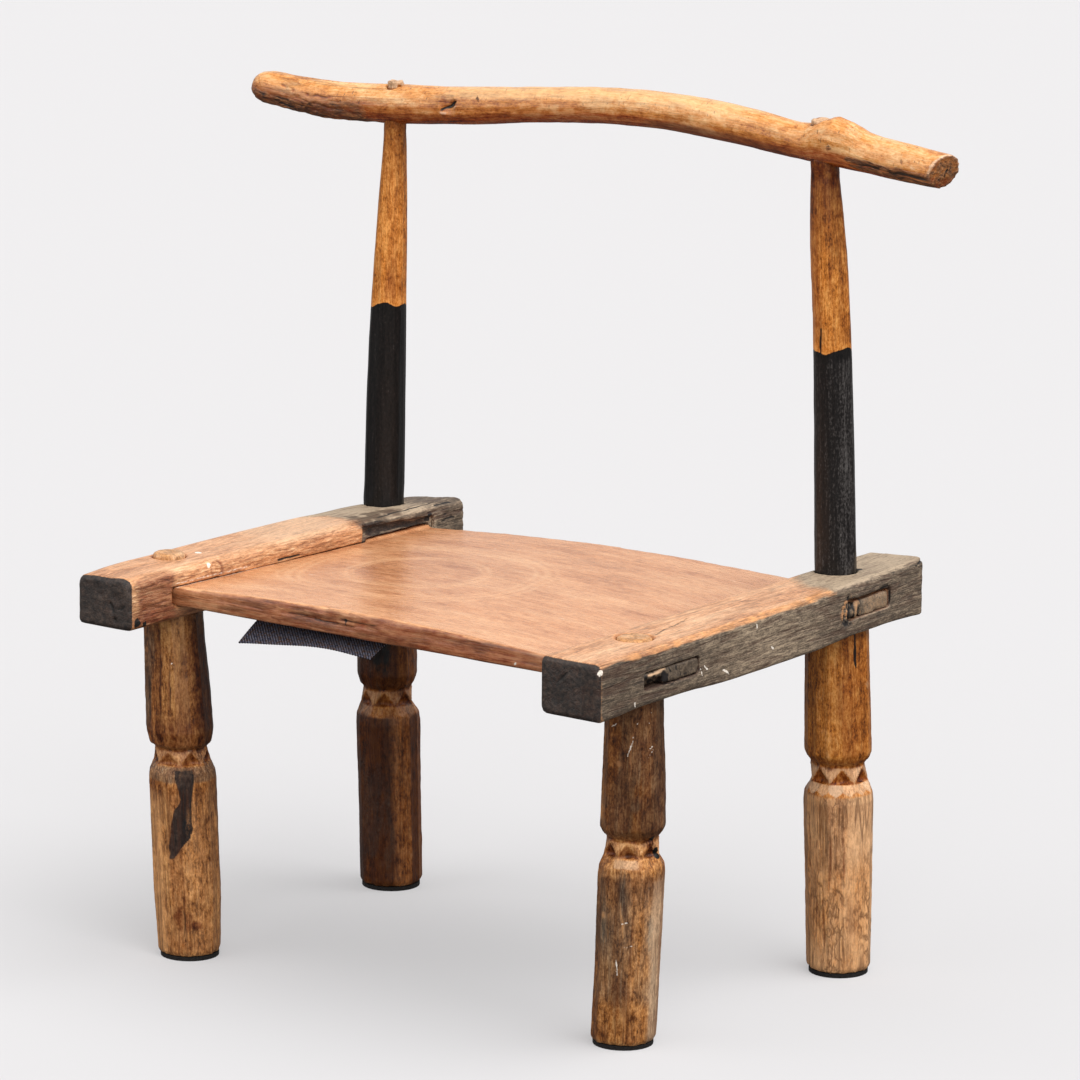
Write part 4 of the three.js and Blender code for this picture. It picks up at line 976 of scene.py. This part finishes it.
def branch():
    piece = Piece("back_branch", 0)
    x, y, z = piece.x, piece.y, piece.z
    stations = np.arange(x.min(), x.max(), 12)
    heights = np.array([z[np.abs(x - station) < 9].mean() for station in stations])
    depths = np.array([y[np.abs(x - station) < 9].mean() for station in stations])
    up = z - np.interp(x, stations, heights)
    piece.grain = np.column_stack([x, y - np.interp(x, stations, depths), up])
    end = step(piece.normals[:, 0], 0.6, 0.85) * step(x, 300, 306)
    piece.sink(0.5 * rough(piece.points, (46, 16, 16), 403))
    piece.sink(0.22 * rough(piece.points, (20, 5, 5), 411))

    # Remains of bark on the lower half at the left, with wavy relief.
    upper_line = np.interp(x, [-322, -300, -280, -240, -200], [3, -3, -3, 0, 2])
    upper_line = upper_line + 3 * noise(piece.points, (22, 9, 9), 421)
    bark = step(x, -192, -215) * step(up, upper_line + 2, upper_line - 3)
    piece.mark("bark", 0.9 * bark * (0.75 + 0.3 * noise(piece.points, (16, 7, 7), 423)))
    piece.sink(-0.6 * bark * rough(piece.points, (12, 4, 4), 431))
    piece.mark("torn", 0.5 * within(x, -308, -230, 14) * step(up, 9, 3))
    piece.sink(0.3 * within(x, -308, -230, 14) * rough(piece.points, (14, 3.4, 3.4), 433))
    piece.mark("dirt_and_shade", 0.8 * step(x, -150, -215) * step(up, 8, -2))

    # The brown lower side, smooth and greyish towards the middle, streaked dark at the right.
    piece.mark("dirt_and_shade", 0.95 * step(up + 2.5 * rough(piece.points, (60, 14, 12), 451), 1, -8))
    piece.mark("dirt_and_shade", 0.5 * within(x, -190, 20, 20) * step(up, 6, -3))
    piece.mark("grey", 0.42 * within(x, 50, 190, 18) * step(up, -3, -7))
    streaks = within(x, 256, 316, 10) * step(up, 0, -5) * step(rough(piece.points, (60, 6, 4), 441), -0.35, 0.25)
    piece.mark("bark", 0.95 * streaks)
    piece.mark("stain", 0.7 * streaks * step(rough(piece.points, (50, 5, 3), 443), 0.1, 0.6))
    # Painted highlight along the upper side, and painted shade on the lower side.
    lit = up + 2 * rough(piece.points, (70, 14, 12), 445)
    piece.mark("worn_and_highlight", 0.6 * step(lit, 3, 9) * within(x, -140, 150, 30))
    piece.mark("shade", 0.2 * step(lit, -3, -9) * step(x, 230, 190) + 0.15 * step(x, -200, -240) * step(up, 4, -4))
    piece.mark("ticks",step(up, -4, 1) * (0.75 + 0.25 * step(x, -100, -190)))
    piece.mark("crackle", 0.4 + 0.3 * step(x, -180, -230) - 0.25 * step(x, 180, 200))

    # Cracks, knots and the hole of a lost twig.
    piece.crack([(-292, 110, 620), (-284, 110.7, 618), (-276, 111, 615)], 1.8, 1.6, 0.6)
    for path in ([(-296, 110, 634), (-270, 110, 630), (-248, 109, 628), (-232, 109, 629)],
                 [(-286, 110, 628), (-256, 110, 624), (-238, 109.5, 623), (-220, 110, 621)],
                 [(-300, 110, 626), (-280, 110, 622), (-256, 110, 618), (-236, 110, 616)]):
        piece.crack(path, 1.8, 1.0, 2.4, "dirt_and_shade")
        piece.crack(path, 1.3, 0.0, 2.4, "pit", 0.5)
    hole = piece.away((-124.6, 112.4, 634.4))
    piece.sink(1.4 * step(hole, 8, 2) - 0.8 * step(np.abs(hole - 9), 3, 0.5))
    piece.patch("dirt_and_shade", (-125, 110, 634), 8, 0.5, 6, 0.5)
    piece.crack([(-131, 109, 631), (-125, 109, 633.5), (-118, 109, 639)], 3.0, 2.2, 1.6)
    piece.crack([(-132, 109, 628), (-126, 109, 629.5)], 1.8, -0.6, 0.5, "cream_and_sheen")
    piece.crack([(-125, 109, 629.5), (-118, 109, 635)], 1.8, -0.6, 0.5, "cream_and_sheen")
    for path, width, mark in (([(236, 127, 629), (261, 128, 626), (288, 128, 623), (312, 128, 620)], 4.2, "bark"),
                              ([(242, 130, 623), (274, 131, 620), (305, 132, 617)], 4.8, "bark"),
                              ([(250, 129, 626), (284, 129, 622.5), (312, 129, 619.5)], 2.2, "pit")):
        piece.crack(path, width, 0.5, 2.0, mark, 0.9)
    for place, radius in (((224.7, 124.6, 635), 2.6), ((100, 118, 634), 3), ((62, 117, 650), 2),
                          ((-98, 112, 644), 2)):
        piece.patch("bark", place, radius, 0.6, 4, 0.6)

    # The sawn right end, brown with a pale crack and rim.
    piece.mark("bark", 0.52 * end)
    piece.mark("dirt_and_shade", 0.5 * end)
    piece.sink(0.5 * end * rough(piece.points, 5, 461))
    piece.crack([(322, 136, 622), (322, 141, 626), (322, 147, 624), (321, 150, 618)], 1.5, 0.3, 0.6, "cream_and_sheen")
    piece.crack([(322, 143, 634), (322, 142, 626), (322, 138, 618)], 1.1, 0.6, 0.8)
    piece.patch("pale", (322, 152, 633), 2.4, 0.3, 3)
    piece.mark("cream_and_sheen", 0.7 * step(piece.curvature, 0.08, 0.18) * step(x, 290, 305))
    piece.mark("dirt_and_shade", 0.6 * step(piece.curvature, -0.04, -0.12))
    piece.done(BRANCH_WOOD)


# Rubber pads and the woven cloth

def rubber():
    paint = Paint("pad rubber", 0.75, 0.25)
    source = paint.tree.nodes.new("ShaderNodeTexCoord")
    texture = paint.tree.nodes.new("ShaderNodeTexNoise")
    texture.inputs["Scale"].default_value = 900
    paint.tree.links.new(source.outputs["Object"], texture.inputs["Vector"])
    tone = paint.ramp(texture.outputs["Fac"], (0.35, seen(14, 12, 12)), (0.7, seen(38, 34, 32)))
    paint.tree.links.new(tone, paint.shader.inputs["Base Color"])
    paint.bump(texture.outputs["Fac"], 0.15)
    return paint.material


CLOTH_STEP = 0.64
WEAVE_PITCH = 2.6
WEAVE_HEIGHT = 0.28
CLOTH_THICKNESS = 0.9
CLOTH_FLAT = (127, 66)
# The share of the strip's length that lies flat under the board.
CLOTH_FLAT_SHARE = 0.45


def cloth():
    """A strip of coarse weave: flat under the board, then a flap that slopes down to the front."""
    low, high = (np.array(corner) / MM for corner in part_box("hanging_cloth"))
    rear, bend, front = high[1] - 1, high[1] - 30, low[1] + 0.6
    columns = int(CLOTH_FLAT[0] / CLOTH_STEP)
    rows = int(CLOTH_FLAT[1] / CLOTH_STEP)
    share, width = np.meshgrid(np.linspace(0, 1, rows), np.linspace(0, 1, columns), indexing="ij")
    flap = np.clip((share - CLOTH_FLAT_SHARE) / (1 - CLOTH_FLAT_SHARE), 0, 1)
    lying = np.clip(share / CLOTH_FLAT_SHARE, 0, 1)
    across = low[0] + 0.5 + (high[0] - low[0] - 1) * width
    depth = rear + (bend - rear) * lying + (front - bend) * flap
    droop = 11.4 + 7.5 * (1 - width) ** 4 + 1.3 * np.sin(width * 7) * flap
    warp = np.sin(across * 2 * math.pi / WEAVE_PITCH)
    weft = np.sin(share * CLOTH_FLAT[1] * 2 * math.pi / WEAVE_PITCH)
    height = high[2] - 1.1 - droop * flap**1.15 + WEAVE_HEIGHT * warp * weft
    points = np.stack([across, depth, height], axis=-1).reshape(-1, 3) * MM
    index = np.arange(rows * columns).reshape(rows, columns)
    faces = np.stack([index[:-1, :-1], index[:-1, 1:], index[1:, 1:], index[1:, :-1]], axis=-1).reshape(-1, 4)
    mesh = bpy.data.meshes.new("hanging_cloth_weave")
    mesh.from_pydata(points.tolist(), [], faces.tolist())
    mesh.polygons.foreach_set("use_smooth", [True] * len(faces))
    layer = mesh.attributes.new("thread", "FLOAT", "POINT")
    layer.data.foreach_set("value", (0.5 + 0.5 * warp * weft).astype(np.float32).ravel())
    piece = bpy.data.objects.new("hanging_cloth_weave", mesh)
    bpy.context.scene.collection.objects.link(piece)
    thicken = piece.modifiers.new("thickness", "SOLIDIFY")
    thicken.thickness = CLOTH_THICKNESS * MM
    thicken.offset = 0
    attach(piece, "root")
    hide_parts("hanging_cloth")
    paint = Paint("woven cloth", 0.85, 0.3)
    source = paint.tree.nodes.new("ShaderNodeTexCoord")
    texture = paint.tree.nodes.new("ShaderNodeTexNoise")
    texture.inputs["Scale"].default_value = 420
    texture.inputs["Detail"].default_value = 3
    paint.tree.links.new(source.outputs["Object"], texture.inputs["Vector"])
    fleck = texture.outputs["Fac"]
    light = paint.ramp(fleck, (0.38, seen(66, 64, 84)), (0.52, seen(126, 126, 142)), (0.6, seen(96, 70, 58)))
    dark = paint.ramp(fleck, (0.4, seen(10, 8, 10)), (0.6, seen(30, 20, 18)))
    colour = paint.mix(paint.ramp(paint.mark("thread"), (0.35, 0.0), (0.8, 1.0)), dark, light)
    paint.tree.links.new(colour, paint.shader.inputs["Base Color"])
    mesh.materials.append(paint.material)


# Camera, light and floor

def add_camera():
    forward = Vector((
        -math.sin(CAMERA_YAW) * math.cos(CAMERA_PITCH),
        math.cos(CAMERA_YAW) * math.cos(CAMERA_PITCH),
        -math.sin(CAMERA_PITCH),
    ))
    level = Vector((math.cos(CAMERA_YAW), math.sin(CAMERA_YAW), 0))
    upright_way = level.cross(forward)
    right = math.cos(CAMERA_ROLL) * level + math.sin(CAMERA_ROLL) * upright_way
    up = math.cos(CAMERA_ROLL) * upright_way - math.sin(CAMERA_ROLL) * level
    data = bpy.data.cameras.new("camera")
    data.lens = CAMERA_LENS
    data.sensor_width = CAMERA_SENSOR
    data.clip_end = 100
    camera = bpy.data.objects.new("camera", data)
    turn = Matrix((right, up, -forward)).transposed()
    camera.matrix_world = Matrix.Translation(Vector(CAMERA_PLACE) * MM) @ turn.to_4x4()
    bpy.context.scene.collection.objects.link(camera)
    bpy.context.scene.camera = camera


def add_sun(name, toward, strength, spread):
    """A soft distant light that shines from the direction toward."""
    data = bpy.data.lights.new(name, "SUN")
    data.energy = strength
    data.angle = math.radians(spread)
    light = bpy.data.objects.new(name, data)
    light.rotation_mode = "QUATERNION"
    light.rotation_quaternion = Vector(toward).to_track_quat("Z", "Y")
    bpy.context.scene.collection.objects.link(light)


def add_world():
    """Pale surroundings, brightest overhead and dim from below."""
    world = bpy.data.worlds.new("studio")
    world.use_nodes = True
    tree = world.node_tree
    background = tree.nodes["Background"]
    background.inputs["Color"].default_value = (1, 1, 1, 1)
    place = tree.nodes.new("ShaderNodeTexCoord")
    split = tree.nodes.new("ShaderNodeSeparateXYZ")
    tree.links.new(place.outputs["Generated"], split.inputs[0])
    lift = tree.nodes.new("ShaderNodeMapRange")
    lift.inputs["From Min"].default_value = -0.3
    lift.inputs["From Max"].default_value = 0.15
    lift.inputs["To Min"].default_value = WORLD_BELOW
    lift.inputs["To Max"].default_value = WORLD_ABOVE
    tree.links.new(split.outputs["Z"], lift.inputs["Value"])
    tree.links.new(lift.outputs[0], background.inputs["Strength"])
    bpy.context.scene.world = world


def add_floor():
    mesh = bpy.data.meshes.new("floor")
    half = FLOOR_HALF * MM
    corners = [(-half, -half, 0), (half, -half, 0), (half, half, 0), (-half, half, 0)]
    mesh.from_pydata(corners, [], [(0, 1, 2, 3)])
    floor = bpy.data.objects.new("floor", mesh)
    bpy.context.scene.collection.objects.link(floor)
    paint = Paint("floor", 0.6, 0.0)
    paint.shader.inputs["Base Color"].default_value = (*FLOOR_COLOUR, 1)
    paint.shader.inputs["Emission Color"].default_value = (1, 0.985, 0.992, 1)
    paint.shader.inputs["Emission Strength"].default_value = FLOOR_GLOW
    mesh.materials.append(paint.material)
    floor.visible_diffuse = False
    floor.visible_glossy = False


add_camera()
add_world()
for sun in SUNS:
    add_sun(*sun)
add_floor()
bpy.context.scene.view_settings.view_transform = "Standard"

left_rail()
right_rail()
seat_board()
front_left_leg()
front_right_leg()
left_upright()
right_upright()
branch()
cloth()
pad_rubber = rubber()
for pad_name in [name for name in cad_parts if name.startswith("foot_pad")]:
    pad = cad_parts[pad_name]
    pad.data.materials.clear()
    pad.data.materials.append(pad_rubber)
